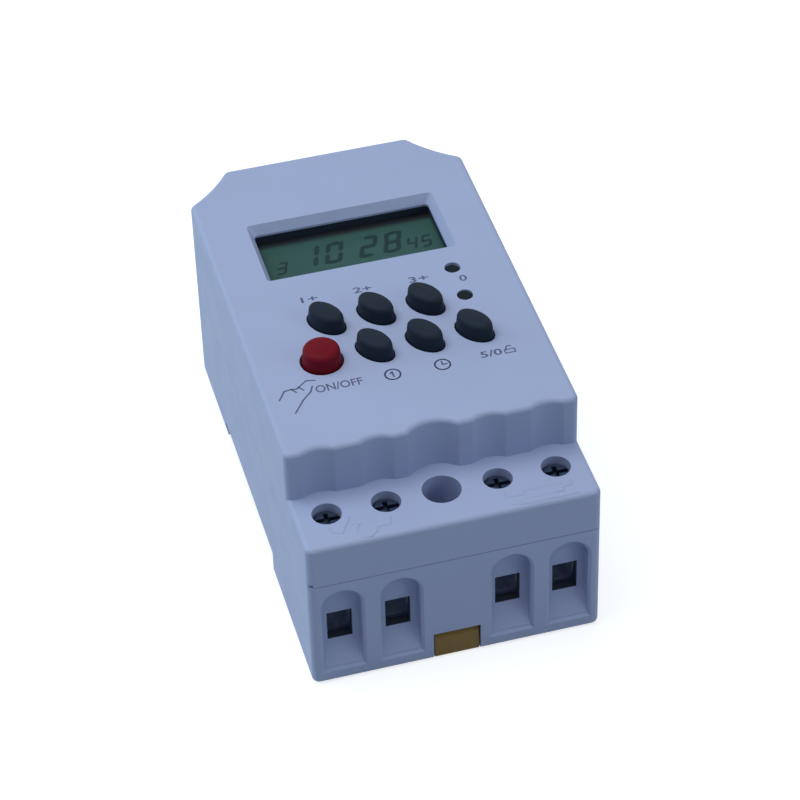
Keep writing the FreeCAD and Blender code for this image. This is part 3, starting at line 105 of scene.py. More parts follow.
class Shader:
    """A Principled material that is built up step by step."""

    def __init__(self, name, colour, roughness, metallic=0.0, shine=0.25):
        self.material = bpy.data.materials.new(name)
        self.material.use_nodes = True
        self.nodes = self.material.node_tree.nodes
        self.links = self.material.node_tree.links
        self.shader = self.nodes["Principled BSDF"]
        self.shader.inputs["Base Color"].default_value = (*colour, 1.0)
        self.shader.inputs["Roughness"].default_value = roughness
        self.shader.inputs["Metallic"].default_value = metallic
        self.shader.inputs["Specular IOR Level"].default_value = shine
        self.colour = colour
        self.roughness = roughness
        self.coordinates = self.nodes.new("ShaderNodeTexCoord").outputs["Object"]

    def noise(self, scale, detail, stretch=EVEN):
        """Noise in the row frame; scale is in repeats per metre."""
        mapping = self.nodes.new("ShaderNodeMapping")
        mapping.inputs["Scale"].default_value = stretch
        self.links.new(self.coordinates, mapping.inputs["Vector"])
        texture = self.nodes.new("ShaderNodeTexNoise")
        texture.inputs["Scale"].default_value = scale
        texture.inputs["Detail"].default_value = detail
        texture.inputs["Roughness"].default_value = NOISE_ROUGHNESS
        self.links.new(mapping.outputs["Vector"], texture.inputs["Vector"])
        return texture.outputs["Fac"]

    def axis(self, name):
        """Place along one axis of the row frame, in metres."""
        parts = self.nodes.new("ShaderNodeSeparateXYZ")
        self.links.new(self.coordinates, parts.inputs["Vector"])
        return parts.outputs[name]

    def maths(self, operation, *values):
        """Result of a sum on numbers or sockets."""
        node = self.nodes.new("ShaderNodeMath")
        node.operation = operation
        for socket, value in zip(node.inputs, values):
            if isinstance(value, (int, float)):
                socket.default_value = value
            else:
                self.links.new(value, socket)
        return node.outputs["Value"]

    def within(self, name, low, high):
        """1 between two places on an axis, and 0 outside them."""
        return self.maths("COMPARE", self.axis(name), (low + high) / 2, (high - low) / 2)

    def span(self, value, low, high, start, end):
        """A value from start to end, spread over low to high."""
        node = self.nodes.new("ShaderNodeMapRange")
        node.inputs["From Min"].default_value = start
        node.inputs["From Max"].default_value = end
        node.inputs["To Min"].default_value = low
        node.inputs["To Max"].default_value = high
        self.links.new(value, node.inputs["Value"])
        return node.outputs["Result"]

    def blend(self, factor, first, second):
        """Colour between two, which are colours or sockets."""
        node = self.nodes.new("ShaderNodeMix")
        node.data_type = "RGBA"
        self.links.new(factor, node.inputs["Factor"])
        for socket, colour in ((node.inputs[MIX_FIRST], first), (node.inputs[MIX_SECOND], second)):
            if isinstance(colour, tuple):
                socket.default_value = (*colour, 1.0)
            else:
                self.links.new(colour, socket)
        return node.outputs[MIX_RESULT]

    def tint(self, amount):
        """The base colour, lighter or darker."""
        return tuple(min(1.0, channel * amount) for channel in self.colour)

    def mottle(self, scale, spread):
        """Slow variation of the base colour."""
        factor = self.span(self.noise(scale, SOFT_DETAIL), 0.0, 1.0, *NOISE_MIDDLE)
        return self.blend(factor, self.tint(1 - spread), self.tint(1 + spread))

    def paint(self, colour):
        """Base colour from a socket."""
        self.links.new(colour, self.shader.inputs["Base Color"])

    def rub(self, scale, spread):
        """Variation of the roughness."""
        low = self.roughness - spread
        high = self.roughness + spread
        value = self.span(self.noise(scale, SOFT_DETAIL), low, high, *NOISE_MIDDLE)
        self.links.new(value, self.shader.inputs["Roughness"])

    def grain(self, scale, depth, stretch=EVEN):
        """Fine relief; depth is in metres."""
        bump = self.nodes.new("ShaderNodeBump")
        bump.inputs["Strength"].default_value = 1.0
        bump.inputs["Distance"].default_value = depth
        self.links.new(self.noise(scale, GRAIN_DETAIL, stretch), bump.inputs["Height"])
        self.links.new(bump.outputs["Normal"], self.shader.inputs["Normal"])


# Scales are in repeats per metre
SCUFF_SCALE = 420
SCUFF_DETAIL = 5.0
SCUFF_STRETCH = (1.0, 0.35, 1.0)
SCUFF_NOISE = (0.62, 0.74)  # values at which a scuff begins and is full
SCUFF_SHARE = 0.35
SCUFF_LIFT = 3  # colour of a scuff, in steps of the mottling
PLASTIC_MOTTLE_SCALE = 45
PLASTIC_RUB = (160, 0.05)


def moulded(name, colour, roughness, grain_scale, grain_depth, spread, shine):
    """Moulded plastic with a fine grain, slow mottling and a few paler scuffs."""
    plastic = Shader(name, colour, roughness, shine=shine)
    noise = plastic.noise(SCUFF_SCALE, SCUFF_DETAIL, SCUFF_STRETCH)
    scuffs = plastic.span(noise, 0.0, SCUFF_SHARE, *SCUFF_NOISE)
    body = plastic.mottle(PLASTIC_MOTTLE_SCALE, spread)
    plastic.paint(plastic.blend(scuffs, body, plastic.tint(1.0 + SCUFF_LIFT * spread)))
    plastic.rub(*PLASTIC_RUB)
    plastic.grain(grain_scale, grain_depth)
    return plastic


HOLE_MARGIN = 0.4  # how far the painted shade reaches into the plastic round a hole
HOLE_SHADE_SHARE = 0.14  # share of the housing's colour that is left under the painted shade in the holes


def paint_shade_in_cable_holes(plastic):
    """Painted shade: darker plastic inside the cable holes, behind the niches, where little light reaches.
    """
    openings = {hole["name"]: hole["box_m"] for hole in frame["record"]["physics"]["openings"]}
    holes = [box for name, box in openings.items() if name.startswith("cable_entry")]
    mouth = openings["cable_niche_1"][1][1] + HOLE_MARGIN / 2 * MM
    edge = HOLE_MARGIN * MM
    hole_shade_mask = 0.0
    for low, high in holes:
        hole_shade_mask = plastic.maths("MAXIMUM", plastic.within("X", low[0] - edge, high[0] + edge), hole_shade_mask)
    low, high = holes[0]
    for name, start, end in (("Y", mouth, high[1]), ("Z", low[2] - edge, high[2] + edge)):
        hole_shade_mask = plastic.maths("MULTIPLY", hole_shade_mask, plastic.within(name, start, end))
    painted = plastic.shader.inputs["Base Color"].links[0].from_socket
    # painted shade: a darker copy of the housing's colour on the walls of the holes
    plastic.paint(plastic.blend(hole_shade_mask, painted, plastic.tint(HOLE_SHADE_SHARE)))


METAL_MOTTLE = (700, 0.12)
METAL_RUB = (900, 0.08)
METAL_GRAIN = (3000, 0.000006)


def finish(surface, mottling, rubbing, grain):
    """Mottling, uneven roughness and grain, each as a scale and an amount."""
    surface.paint(surface.mottle(*mottling))
    surface.rub(*rubbing)
    surface.grain(*grain)
    return surface


def metal(name, colour, roughness, stretch):
    """Plated or drawn metal with a fine grain, which stretch draws out, and dull spots."""
    surface = Shader(name, colour, roughness, metallic=1.0)
    return finish(surface, METAL_MOTTLE, METAL_RUB, (*METAL_GRAIN, stretch))


# Slot: colour, roughness, grain in repeats per metre, its depth in metres, mottling, shine
PLASTICS = {
    "housing_plastic": ((0.335, 0.400, 0.610), 0.52, 3200, 0.000012, 0.02, 0.20),
    "button_dark": ((0.011, 0.018, 0.032), 0.62, 2600, 0.000010, 0.06, 0.10),
    "button_red": ((0.125, 0.0025, 0.009), 0.60, 2600, 0.000010, 0.05, 0.10),
    "plunger_black": ((0.014, 0.018, 0.026), 0.55, 2600, 0.000020, 0.03, 0.05),
    "switch_black": ((0.010, 0.016, 0.024), 0.60, 2600, 0.000020, 0.03, 0.05),
    "frame_black": ((0.020, 0.027, 0.046), 0.60, 2600, 0.000020, 0.10, 0.08),
    "contact_rubber": ((0.080, 0.080, 0.090), 0.80, 5000, 0.000030, 0.03, 0.20),
    "board_green": ((0.010, 0.120, 0.045), 0.32, 1500, 0.000010, 0.12, 0.20),
    "latch_ochre": ((0.185, 0.115, 0.028), 0.42, 2200, 0.000020, 0.08, 0.20),
    "lamp_lens": ((0.008, 0.013, 0.020), 0.50, 4000, 0.000004, 0.03, 0.05),
    "relay_blue": ((0.015, 0.070, 0.300), 0.35, 2600, 0.000020, 0.03, 0.20),
    "film_yellow": ((0.600, 0.360, 0.020), 0.38, 2600, 0.000020, 0.03, 0.20),
    "diode_black": ((0.018, 0.018, 0.018), 0.40, 2600, 0.000020, 0.03, 0.20),
    "resistor_beige": ((0.520, 0.360, 0.190), 0.40, 2600, 0.000020, 0.03, 0.20),
    "varistor_blue": ((0.020, 0.110, 0.360), 0.30, 900, 0.000040, 0.03, 0.20),
    "chip_black": ((0.016, 0.016, 0.017), 0.55, 3500, 0.000020, 0.03, 0.20),
}
# Slot: colour, roughness, stretch of the grain along x, y and z
METALS = {
    "screw_steel": ((0.038, 0.058, 0.100), 0.50, (1.0, 1.0, 1.0)),
    "cage_steel": ((0.450, 0.530, 0.680), 0.42, (1.0, 0.1, 1.0)),
    "spring_steel": ((0.400, 0.400, 0.410), 0.30, (1.0, 1.0, 1.0)),
    "bar_copper": ((0.620, 0.420, 0.240), 0.34, (1.0, 0.1, 1.0)),
    "can_aluminium": ((0.620, 0.630, 0.650), 0.28, (1.0, 1.0, 0.1)),
    "cell_steel": ((0.580, 0.580, 0.570), 0.25, (1.0, 1.0, 1.0)),
    "crystal_metal": ((0.600, 0.600, 0.580), 0.24, (0.1, 1.0, 1.0)),
}


def make_materials():
    """Every material slot of the record, as a Blender material."""
    shaders = {name: moulded(name, *values) for name, values in PLASTICS.items()}
    # the housing's colour gets painted shade inside the cable holes
    paint_shade_in_cable_holes(shaders["housing_plastic"])
    shaders.update({name: metal(name, *values) for name, values in METALS.items()})
    shaders["lcd_glass"] = lcd_material()
    shaders["window_clear"] = window_material()
    return {name: shader.material for name, shader in shaders.items()}


LCD_PAINTED_SHADOW = (0.009, 0.016, 0.026)
SHADE_WIDTH = 1.6  # of the painted shadow along the far edge
SHADE_FADE = 1.0
WINDOW_ALPHA = 0.03


def lcd_material():
    """Grey-green liquid crystal, with a painted shadow along the far edge, where the frame shades it."""
    glass = Shader("lcd_glass", (0.026, 0.086, 0.075), 0.40, shine=0.05)
    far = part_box("display_glass")[1][1] - SHADE_WIDTH * MM
    # painted shadow of the frame across the far edge of the glass
    shade = glass.span(glass.axis("Y"), 0.0, 1.0, far - SHADE_FADE * MM, far)
    glass.paint(glass.blend(shade, glass.mottle(90, 0.05), LCD_PAINTED_SHADOW))
    glass.rub(300, 0.03)
    glass.grain(5000, 0.000002)
    return glass


def window_material():
    """Thin clear window: mostly see-through, with a soft shine and faint fingermarks."""
    clear = Shader("window_clear", (0.30, 0.36, 0.40), 0.12, shine=0.1)
    clear.shader.inputs["Alpha"].default_value = WINDOW_ALPHA
    clear.rub(260, 0.05)
    clear.grain(500, 0.000002)
    return clear


def ink_material():
    """Printed grey-blue ink, slightly worn."""
    ink = Shader("legend_ink", (0.085, 0.097, 0.180), 0.6)
    return finish(ink, (2500, 0.25), (1500, 0.05), (4000, 0.000004))


def segment_material():
    """Dark segments of the reading."""
    dark = Shader("display_segments", (0.005, 0.028, 0.026), 0.5, shine=0.05)
    return finish(dark, (900, 0.1), (600, 0.04), (5000, 0.000001))


# ---- Small helpers for geometry ----
RING_STEPS = 28
STROKE_OVERLAP = 0.3  # of each stretch of a line past its ends, as a share of its width
LETTER_SHARE = 0.7  # height of a capital of the built-in font for a size of 1
LETTER_STEPS = 4
INK_SPREAD = 0.03  # added all round a printed character


def mesh_object(name, vertices, faces, material):
    """Mesh object from points of the row frame."""
    mesh = bpy.data.meshes.new(name)
    mesh.from_pydata([tuple(v) for v in vertices], [], faces)
    mesh.update()
    piece = bpy.data.objects.new(name, mesh)
    bpy.context.scene.collection.objects.link(piece)
    mesh.materials.append(material)
    return piece


def prism(points, z_low, z_high):
    """Vertices and faces of an upright prism on level (x, y) points."""
    count = len(points)
    vertices = [place(x, y, z_low) for x, y in points] + [place(x, y, z_high) for x, y in points]
    faces = [tuple(reversed(range(count))), tuple(range(count, 2 * count))]
    for i in range(count):
        j = (i + 1) % count
        faces.append((i, j, count + j, count + i))
    return vertices, faces


def join_prisms(name, outlines, z_low, z_high, material):
    """One mesh of several separate prisms."""
    vertices = []
    faces = []
    for points in outlines:
        more, more_faces = prism(points, z_low, z_high)
        shift = len(vertices)
        vertices += more
        faces += [tuple(i + shift for i in face) for face in more_faces]
    return mesh_object(name, vertices, faces, material)


def ribbon(points, width, closed):
    """Outlines of a line of this width along (x, y) points, as one strip per stretch."""
    strips = []
    ends = points[1:] + points[:1] if closed else points[1:]
    for (ax, ay), (bx, by) in zip(points, ends):
        length = math.hypot(bx - ax, by - ay)
        ux = (bx - ax) / length
        uy = (by - ay) / length
        half = width / 2
        past = width * STROKE_OVERLAP
        start = (ax - ux * past, ay - uy * past)
        end = (bx + ux * past, by + uy * past)
        side = (-uy * half, ux * half)
        strips.append([
            (start[0] - side[0], start[1] - side[1]),
            (end[0] - side[0], end[1] - side[1]),
            (end[0] + side[0], end[1] + side[1]),
            (start[0] + side[0], start[1] + side[1]),
        ])
    return strips


def ring(x, y, radius):
    """Points round a circle."""
    turns = [2 * math.pi * i / RING_STEPS for i in range(RING_STEPS)]
    return [(x + radius * math.cos(turn), y + radius * math.sin(turn)) for turn in turns]


def ink_lines(name, strokes, width):
    """Printed lines; each stroke is a list of points and whether it closes."""
    outlines = []
    for points, closed in strokes:
        outlines += ribbon(points, width, closed)
    low = FACE_LEVEL - INK_SINK
    return join_prisms(name, outlines, low, FACE_LEVEL + INK_THICKNESS, INK)


def ink_text(name, words, across, y, height):
    """Printed characters, as a mesh, whose base line at y spans the two x places of across."""
    curve = bpy.data.curves.new(name, "FONT")
    curve.body = words
    curve.size = height / LETTER_SHARE * MM
    curve.offset = INK_SPREAD * MM
    curve.extrude = (INK_THICKNESS + INK_SINK) / 2 * MM
    curve.resolution_u = LETTER_STEPS
    source = bpy.data.objects.new(name + "_source", curve)
    mesh = bpy.data.meshes.new_from_object(source)
    bpy.data.objects.remove(source)
    reach = [vertex.co.x for vertex in mesh.vertices]
    stretch = (across[1] - across[0]) * MM / (max(reach) - min(reach))
    mesh.transform(Matrix.Diagonal((stretch, 1.0, 1.0, 1.0)))
    middle = FACE_LEVEL + (INK_THICKNESS - INK_SINK) / 2
    mesh.transform(Matrix.Translation(place(across[0], y, middle) - Vector((min(reach) * stretch, 0, 0))))
    mesh.materials.clear()
    mesh.materials.append(INK)
    piece = bpy.data.objects.new(name, mesh)
    bpy.context.scene.collection.objects.link(piece)
    return piece


# ---- Materials on the CAD nodes ----
MATERIALS = make_materials()
INK = ink_material().material
SEGMENTS = segment_material().material
SLOT_OF = {part["node"]: part["material_slot"] for part in frame["record"]["subparts"]}

for piece in NODES.values():
    piece.data.materials.clear()
for node, piece in NODES.items():
    piece.data.materials.append(MATERIALS[SLOT_OF[node]])


# ---- Display: window and reading ----
WINDOW_LIFT = 0.05
WINDOW_BEVEL = 0.15
WINDOW_BEVEL_STEPS = 2


def make_window():
    """Clear window with broken edges, a hair above the glass."""
    low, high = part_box("display_window")
    x = high[0] / MM
    near = (low[1] - NEAR_END) / MM
    far = (high[1] - NEAR_END) / MM
    outline = [(-x, near), (x, near), (x, far), (-x, far)]
    vertices, faces = prism(outline, GLASS_LEVEL + WINDOW_LIFT, high[2] / MM)
    piece = mesh_object("window_sheet", vertices, faces, MATERIALS["window_clear"])
    bevel = piece.modifiers.new("edge", "BEVEL")
    bevel.width = WINDOW_BEVEL * MM
    bevel.segments = WINDOW_BEVEL_STEPS
    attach(piece, "housing")
    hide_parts("display_window")


SEGMENTS_OF = {
    "0": "abcdef", "1": "bc", "2": "abged", "3": "abgcd", "4": "fgbc", "5": "afgcd", "8": "abcdefg",
}
LEAN = math.tan(math.radians(17))
GAP_SHARE = 0.1  # between neighbouring segments, as a share of the stroke


def digit_outlines(number, x, y, width, height, stroke):
    """Outlines of the lit segments of one leaning digit, its foot at the left end x, y."""
    middle = height / 2
    gap = GAP_SHARE * stroke
    bars = {"a": height - stroke, "g": middle - stroke / 2, "d": 0.0}
    posts = {"b": (width - stroke, middle), "c": (width - stroke, 0.0), "e": (0.0, 0.0), "f": (0.0, middle)}
    outlines = []
    for segment in SEGMENTS_OF[number]:
        if segment in bars:
            low = bars[segment]
            cut = 0.0 if segment == "g" else stroke / 2
            inner = stroke / 2 if segment == "g" else stroke
            points = [(inner + gap, low), (width - inner - gap, low)]
            points += [(width - gap - cut, low + stroke / 2), (width - inner - gap, low + stroke)]
            points += [(inner + gap, low + stroke), (gap + cut, low + stroke / 2)]
        else:
            left, low = posts[segment]
            top = low + middle
            points = [(left + stroke / 2, low + gap), (left + stroke, low + gap + stroke / 2)]
            points += [(left + stroke, top - gap - stroke / 2), (left + stroke / 2, top - gap)]
            points += [(left, top - gap - stroke / 2), (left, low + gap + stroke / 2)]
        outlines.append([(x + px + py * LEAN, y + py) for px, py in points])
    return outlines


SEGMENT_THICKNESS = 0.02
LARGE_DIGIT = (3.2, 5.8, 0.90)  # width, height and stroke
SMALL_DIGIT = (2.0, 3.4, 0.50)
READING = [("3", -14.1, 63.4, SMALL_DIGIT)]
READING += [("1", -9.6, 63.8, LARGE_DIGIT), ("0", -5.2, 63.8, LARGE_DIGIT)]
READING += [("2", 1.0, 63.7, LARGE_DIGIT), ("8", 5.4, 63.7, LARGE_DIGIT)]
READING += [("4", 9.6, 63.5, SMALL_DIGIT), ("5", 12.2, 63.5, SMALL_DIGIT)]


def make_reading():
    """Digits that lie on the liquid crystal glass."""
    outlines = []
    for number, x, y, (width, height, stroke) in READING:
        outlines += digit_outlines(number, x, y, width, height, stroke)
    low = GLASS_LEVEL - INK_SINK
    piece = join_prisms("reading_digits", outlines, low, GLASS_LEVEL + SEGMENT_THICKNESS, SEGMENTS)
    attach(piece, "housing")


# ---- Printed marks on the control face ----
# Name, characters, both ends across, base line and height
TEXT_MARKS = [
    ("mark_1", "1+", (-12.7, -9.8), 49.6, 1.45),
    ("mark_2", "2+", (-3.5, -0.3), 49.5, 1.45),
    ("mark_3", "3+", (6.3, 9.8), 49.4, 1.45),
    ("mark_0", "0", (14.8, 16.1), 47.3, 1.5),
    ("mark_on_off", "ON/OFF", (-16.0, -8.0), 26.3, 1.75),
    ("mark_4", "5/0", (12.5, 16.2), 26.8, 1.5),
]
# Name, line width, closed lines and open lines
LINE_MARKS = [
    ("mark_ring", 0.28, [ring(-2.8, 27.15, 1.3)], [[(-3.15, 27.45), (-2.75, 27.8), (-2.75, 26.5)]]),
    ("mark_clock", 0.28, [ring(5.8, 27.15, 1.3)], [[(5.8, 28.0), (5.8, 27.15), (6.6, 27.15)]]),
    ("mark_padlock", 0.22, [[(16.7, 26.8), (18.4, 26.8), (18.4, 27.7), (16.7, 27.7)]],
     [[(17.0, 27.7), (17.1, 28.3), (17.5, 28.6), (18.0, 28.4)]]),
    ("mark_switch", 0.27, [], [
        [(-22.4, 26.2), (-21.1, 28.2), (-19.9, 28.4), (-19.0, 28.2), (-17.0, 29.8), (-15.5, 29.5)],
        [(-16.3, 28.2), (-16.9, 26.9), (-18.6, 25.2), (-20.6, 22.4)],
        [(-19.9, 28.4), (-19.2, 27.4)],
        [(-18.6, 28.6), (-17.9, 27.6)],
    ]),
]


def strokes_of(closed_lines, open_lines):
    """Lines with whether each one closes."""
    return [(points, True) for points in closed_lines] + [(points, False) for points in open_lines]


def make_legends():
    """Plain numbers, simple signs and ON/OFF in the places of the keys' marks."""
    pieces = [ink_text(*mark) for mark in TEXT_MARKS]
    for name, width, closed_lines, open_lines in LINE_MARKS:
        pieces.append(ink_lines(name, strokes_of(closed_lines, open_lines), width))
    for piece in pieces:
        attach(piece, "housing")


# ---- Button caps ----
CAP_HEIGHT = 3.2
CAP_CROWN = 0.15
CAP_TAPER = 0.20
CAP_ROUND = 1.0
CAP_RADII = (3.68, 2.33)
RED_RADII = (3.36, 3.36)
CAP_TILT = math.radians(-56)
OVAL_FACETS = 56
ROUND_STEPS = 8
CROWN_SHARES = (0.75, 0.5, 0.25)  # of the crown's radii, from its rim inwards
FLANGE_DEPTH = 1.0
FLANGE_REACH = 0.7
SHARP_EDGE = math.radians(40)


def cap_rings(foot, radii):
    """Height and both radii, in millimetres, of each ring of a cap, from its flange to its crown."""
    flange_top = foot + FLANGE_DEPTH
    top = FACE_LEVEL + CAP_HEIGHT
    levels = [(foot, -FLANGE_REACH), (flange_top, -FLANGE_REACH), (flange_top, 0.0), (FACE_LEVEL, 0.0)]
    for i in range(ROUND_STEPS + 1):
        angle = math.pi / 2 * i / ROUND_STEPS
        drop = CAP_CROWN + CAP_ROUND * (1 - math.sin(angle))
        levels.append((top - drop, CAP_TAPER + CAP_ROUND * (1 - math.cos(angle))))
    rings = [(z, radii[0] - inset, radii[1] - inset) for z, inset in levels]
    _, long, short = rings[-1]
    for share in CROWN_SHARES:
        rings.append((top - CAP_CROWN * share ** 2, long * share, short * share))
    return rings


def stand_in(node, rings, tilt=0.0):
    """Upright piece of level ovals in place of a CAD node, on its centre and its body."""
    low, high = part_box(node)
    x = (low[0] + high[0]) / 2 / MM
    y = ((low[1] + high[1]) / 2 - NEAR_END) / MM
    vertices = []
    for z, long, short in rings:
        for i in range(OVAL_FACETS):
            turn = 2 * math.pi * i / OVAL_FACETS
            along = long * math.cos(turn)
            across = short * math.sin(turn)
            dx = along * math.cos(tilt) - across * math.sin(tilt)
            dy = along * math.sin(tilt) + across * math.cos(tilt)
            vertices.append(place(x + dx, y + dy, z))
    last = (len(rings) - 1) * OVAL_FACETS
    faces = [tuple(reversed(range(OVAL_FACETS))), tuple(range(last, last + OVAL_FACETS))]
    for start in range(0, last, OVAL_FACETS):
        for i in range(OVAL_FACETS):
            j = (i + 1) % OVAL_FACETS
            above = start + OVAL_FACETS
            faces.append((start + i, start + j, above + j, above + i))
    piece = mesh_object(node + "_shown", vertices, faces, MATERIALS[SLOT_OF[node]])
    piece.data.shade_smooth()
    piece.data.set_sharp_from_angle(angle=SHARP_EDGE)
    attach(piece, body_of(NODES[node])[0])
    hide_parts(node)


def make_caps():
    """Caps of the red button and of the six dark ones."""
    stand_in("button_red", cap_rings(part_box("button_red")[0][2] / MM, RED_RADII))
    for i in range(1, 7):
        node = f"button_{i}"
        stand_in(node, cap_rings(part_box(node)[0][2] / MM, CAP_RADII), CAP_TILT)


LAMP_RADIUS = 1.3
LAMP_DEPTH = 0.12
LAMP_FOOT = (1.0, 0.4)  # height of the lamp's foot, and its reach past the lamp
RESET_RADIUS = 1.27
RESET_DEPTH = 0.35
PIN_BEVEL = 0.15


def make_pins():
    """Lamp and reset plunger, which nearly fill their two small holes."""
    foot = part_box("status_lamp")[0][2] / MM
    foot_top = foot + LAMP_FOOT[0]
    levels = [(foot, LAMP_RADIUS + LAMP_FOOT[1]), (foot_top, LAMP_RADIUS + LAMP_FOOT[1])]
    levels += [(foot_top, LAMP_RADIUS)] + pin_top(LAMP_RADIUS, LAMP_DEPTH)
    stand_in("status_lamp", [(z, radius, radius) for z, radius in levels])
    levels = [(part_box("reset_plunger")[0][2] / MM, RESET_RADIUS)] + pin_top(RESET_RADIUS, RESET_DEPTH)
    stand_in("reset_plunger", [(z, radius, radius) for z, radius in levels])


def pin_top(radius, depth):
    """Height and radius at the broken edge of a pin that ends this far below the control face."""
    top = FACE_LEVEL - depth
    return [(top - PIN_BEVEL, radius), (top, radius - PIN_BEVEL)]


# ---- Latch ----
PAD_FRONT = 0.35  # behind the terminal end
PAD_BACK = 2.5
PAD_FOOT = 0.25  # above the floor
PAD_SIDE = 0.03  # past the CAD latch on each side
PAD_TOP = 0.05
PAD_SLOPE = 0.65
PAD_EDGE = 0.2
PAD_EDGE_STEPS = 3


def make_latch_pad():
    """Pull plate of the latch, nearly flush with the terminal end, over the plate of the CAD latch."""
    low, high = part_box("rail_latch")
    x = high[0] / MM + PAD_SIDE
    top = high[2] / MM + PAD_TOP
    profile = [(PAD_FRONT, PAD_FOOT), (PAD_BACK, PAD_FOOT), (PAD_BACK, top)]
    profile += [(PAD_FRONT + PAD_SLOPE, top), (PAD_FRONT, top - PAD_SLOPE)]
    count = len(profile)
    vertices = [place(side, y, z) for side in (-x, x) for y, z in profile]
    faces = [tuple(range(count)), tuple(reversed(range(count, 2 * count)))]
    for i in range(count):
        j = (i + 1) % count
        faces.append((j, i, count + i, count + j))
    piece = mesh_object("latch_pad", vertices, faces, MATERIALS["latch_ochre"])
    bevel = piece.modifiers.new("edge", "BEVEL")
    bevel.width = PAD_EDGE * MM
    bevel.segments = PAD_EDGE_STEPS
    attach(piece, "latch")


# ---- Latch spring ----
SPRING_WIRE = 0.18  # radius
SPRING_TURNS = 6
TURN_STEPS = 24
WIRE_FACETS = 8


def make_spring():
    """Round-wire coil spring in place of the CAD spring, fixed to the housing."""
    low, high = (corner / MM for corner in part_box("latch_spring"))
    coil = (high.x - low.x) / 2 - SPRING_WIRE
    start = low.y + SPRING_WIRE
    length = high.y - low.y - 2 * SPRING_WIRE
    steps = SPRING_TURNS * TURN_STEPS
    vertices = []
    for i in range(steps + 1):
        turn = 2 * math.pi * i / TURN_STEPS
        outwards = Vector((math.cos(turn), 0, math.sin(turn)))
        middle = Vector((0, start + length * i / steps, (low.z + high.z) / 2)) + coil * outwards
        for j in range(WIRE_FACETS):
            angle = 2 * math.pi * j / WIRE_FACETS
            rim = math.cos(angle) * outwards + Vector((0, math.sin(angle), 0))
            vertices.append((middle + SPRING_WIRE * rim) * MM)
    last = steps * WIRE_FACETS
    faces = [tuple(range(WIRE_FACETS)), tuple(reversed(range(last, last + WIRE_FACETS)))]
    for i in range(0, last, WIRE_FACETS):
        for j in range(WIRE_FACETS):
            k = (j + 1) % WIRE_FACETS
            faces.append((i + k, i + j, i + WIRE_FACETS + j, i + WIRE_FACETS + k))
    piece = mesh_object("spring_coil", vertices, faces, MATERIALS["spring_steel"])
    piece.data.shade_smooth()
    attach(piece, "housing")
    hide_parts("latch_spring")
    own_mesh(piece)


# ---- Raised signs on the shoulder ----
RELIEF_RADIUS = 0.28
RELIEF_SINK = 0.15
RELIEF_STEPS = 2


def raised_line(name, strokes):
    """Raised rounded lines, partly sunk in the shoulder."""
    curve = bpy.data.curves.new(name, "CURVE")
    curve.dimensions = "3D"
    curve.bevel_depth = RELIEF_RADIUS * MM
    curve.bevel_resolution = RELIEF_STEPS
    curve.use_fill_caps = True
    for points, closed in strokes:
        spline = curve.splines.new("POLY")
        spline.points.add(len(points) - 1)
        spline.use_cyclic_u = closed
        for point, (x, y) in zip(spline.points, points):
            point.co = (*place(x, y, SHOULDER_LEVEL - RELIEF_SINK), 1.0)
    source = bpy.data.objects.new(name + "_source", curve)
    mesh = bpy.data.meshes.new_from_object(source)
    bpy.data.objects.remove(source)
    mesh.materials.clear()
    mesh.materials.append(MATERIALS["housing_plastic"])
    piece = bpy.data.objects.new(name, mesh)
    bpy.context.scene.collection.objects.link(piece)
    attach(piece, "housing")


BOW = (-14.3, 2.4, 1.7)  # centre and radius of the half round in the switch sign
BOW_ANGLES = (-2.4, -1.5, -0.6, 0.3, 1.2)
SWITCH_LEVER = [(-20.0, 4.6), (-19.9, 3.4), (-18.2, 2.8), (-16.1, 6.2)]
SWITCH_BOWL = [(-16.3, 4.4), (-14.9, 4.1)]
SWITCH_BOWL += [(BOW[0] + BOW[2] * math.sin(a), BOW[1] - BOW[2] * math.cos(a)) for a in BOW_ANGLES]
SWITCH_BOWL += [(-12.4, 2.6), (-10.3, 2.6), (-9.8, 4.2)]
LOAD_BOX = [(12.8, 2.0), (19.0, 2.0), (19.0, 3.8), (12.8, 3.8)]
LOAD_LINES = [
    [(10.1, 1.3), (12.0, 0.9), (21.4, 0.9)],
    [(9.5, 4.3), (9.6, 3.1), (12.8, 3.0)],
    [(19.0, 3.0), (20.6, 3.0), (20.8, 4.2)],
]


def make_reliefs():
    """Switch sign between the left terminals, load sign between the right ones."""
    raised_line("relief_switch", strokes_of([], [SWITCH_LEVER, SWITCH_BOWL]))
    raised_line("relief_load", strokes_of([LOAD_BOX], LOAD_LINES))


# ---- Studio ----
FLOOR_REACH = 6.0
FLOOR_DROP = 0.00005
FLOOR_COLOUR = (0.44, 0.48, 0.52)
FLOOR_GLOW = 0.74  # near the object, where the lamps and the shadow add the rest
LIT_RADIUS = 0.4
BARE_RADIUS = 3 * LIT_RADIUS  # from here on the floor's glow is full
WORLD_LIGHT = (0.12, 0.14, 0.165)
LIGHT_AIM = Vector((0.0, 0.0, 0.02))
# Name, place in metres, power in watts, side in metres, colour
LIGHTS = [
    ("overhead", (-0.20, 0.05, 0.88), 6.2, 0.80, (1.0, 0.99, 0.97)),
    ("left_rear", (-0.75, 0.40, 0.35), 2.8, 0.70, (0.62, 0.89, 1.0)),
    ("right_front", (0.62, -0.52, 0.38), 1.5, 0.50, (0.86, 0.98, 1.0)),
]
CAMERA_PLACE = (-0.09936, -0.40220, 0.38245)
CAMERA_AIM = (0.00241, -0.00165, 0.02000)
CAMERA_ROLL = -1.861
CAMERA_LENS = 142.06
CAMERA_SENSOR = 36
CAMERA_CLIP = (0.01, 20)


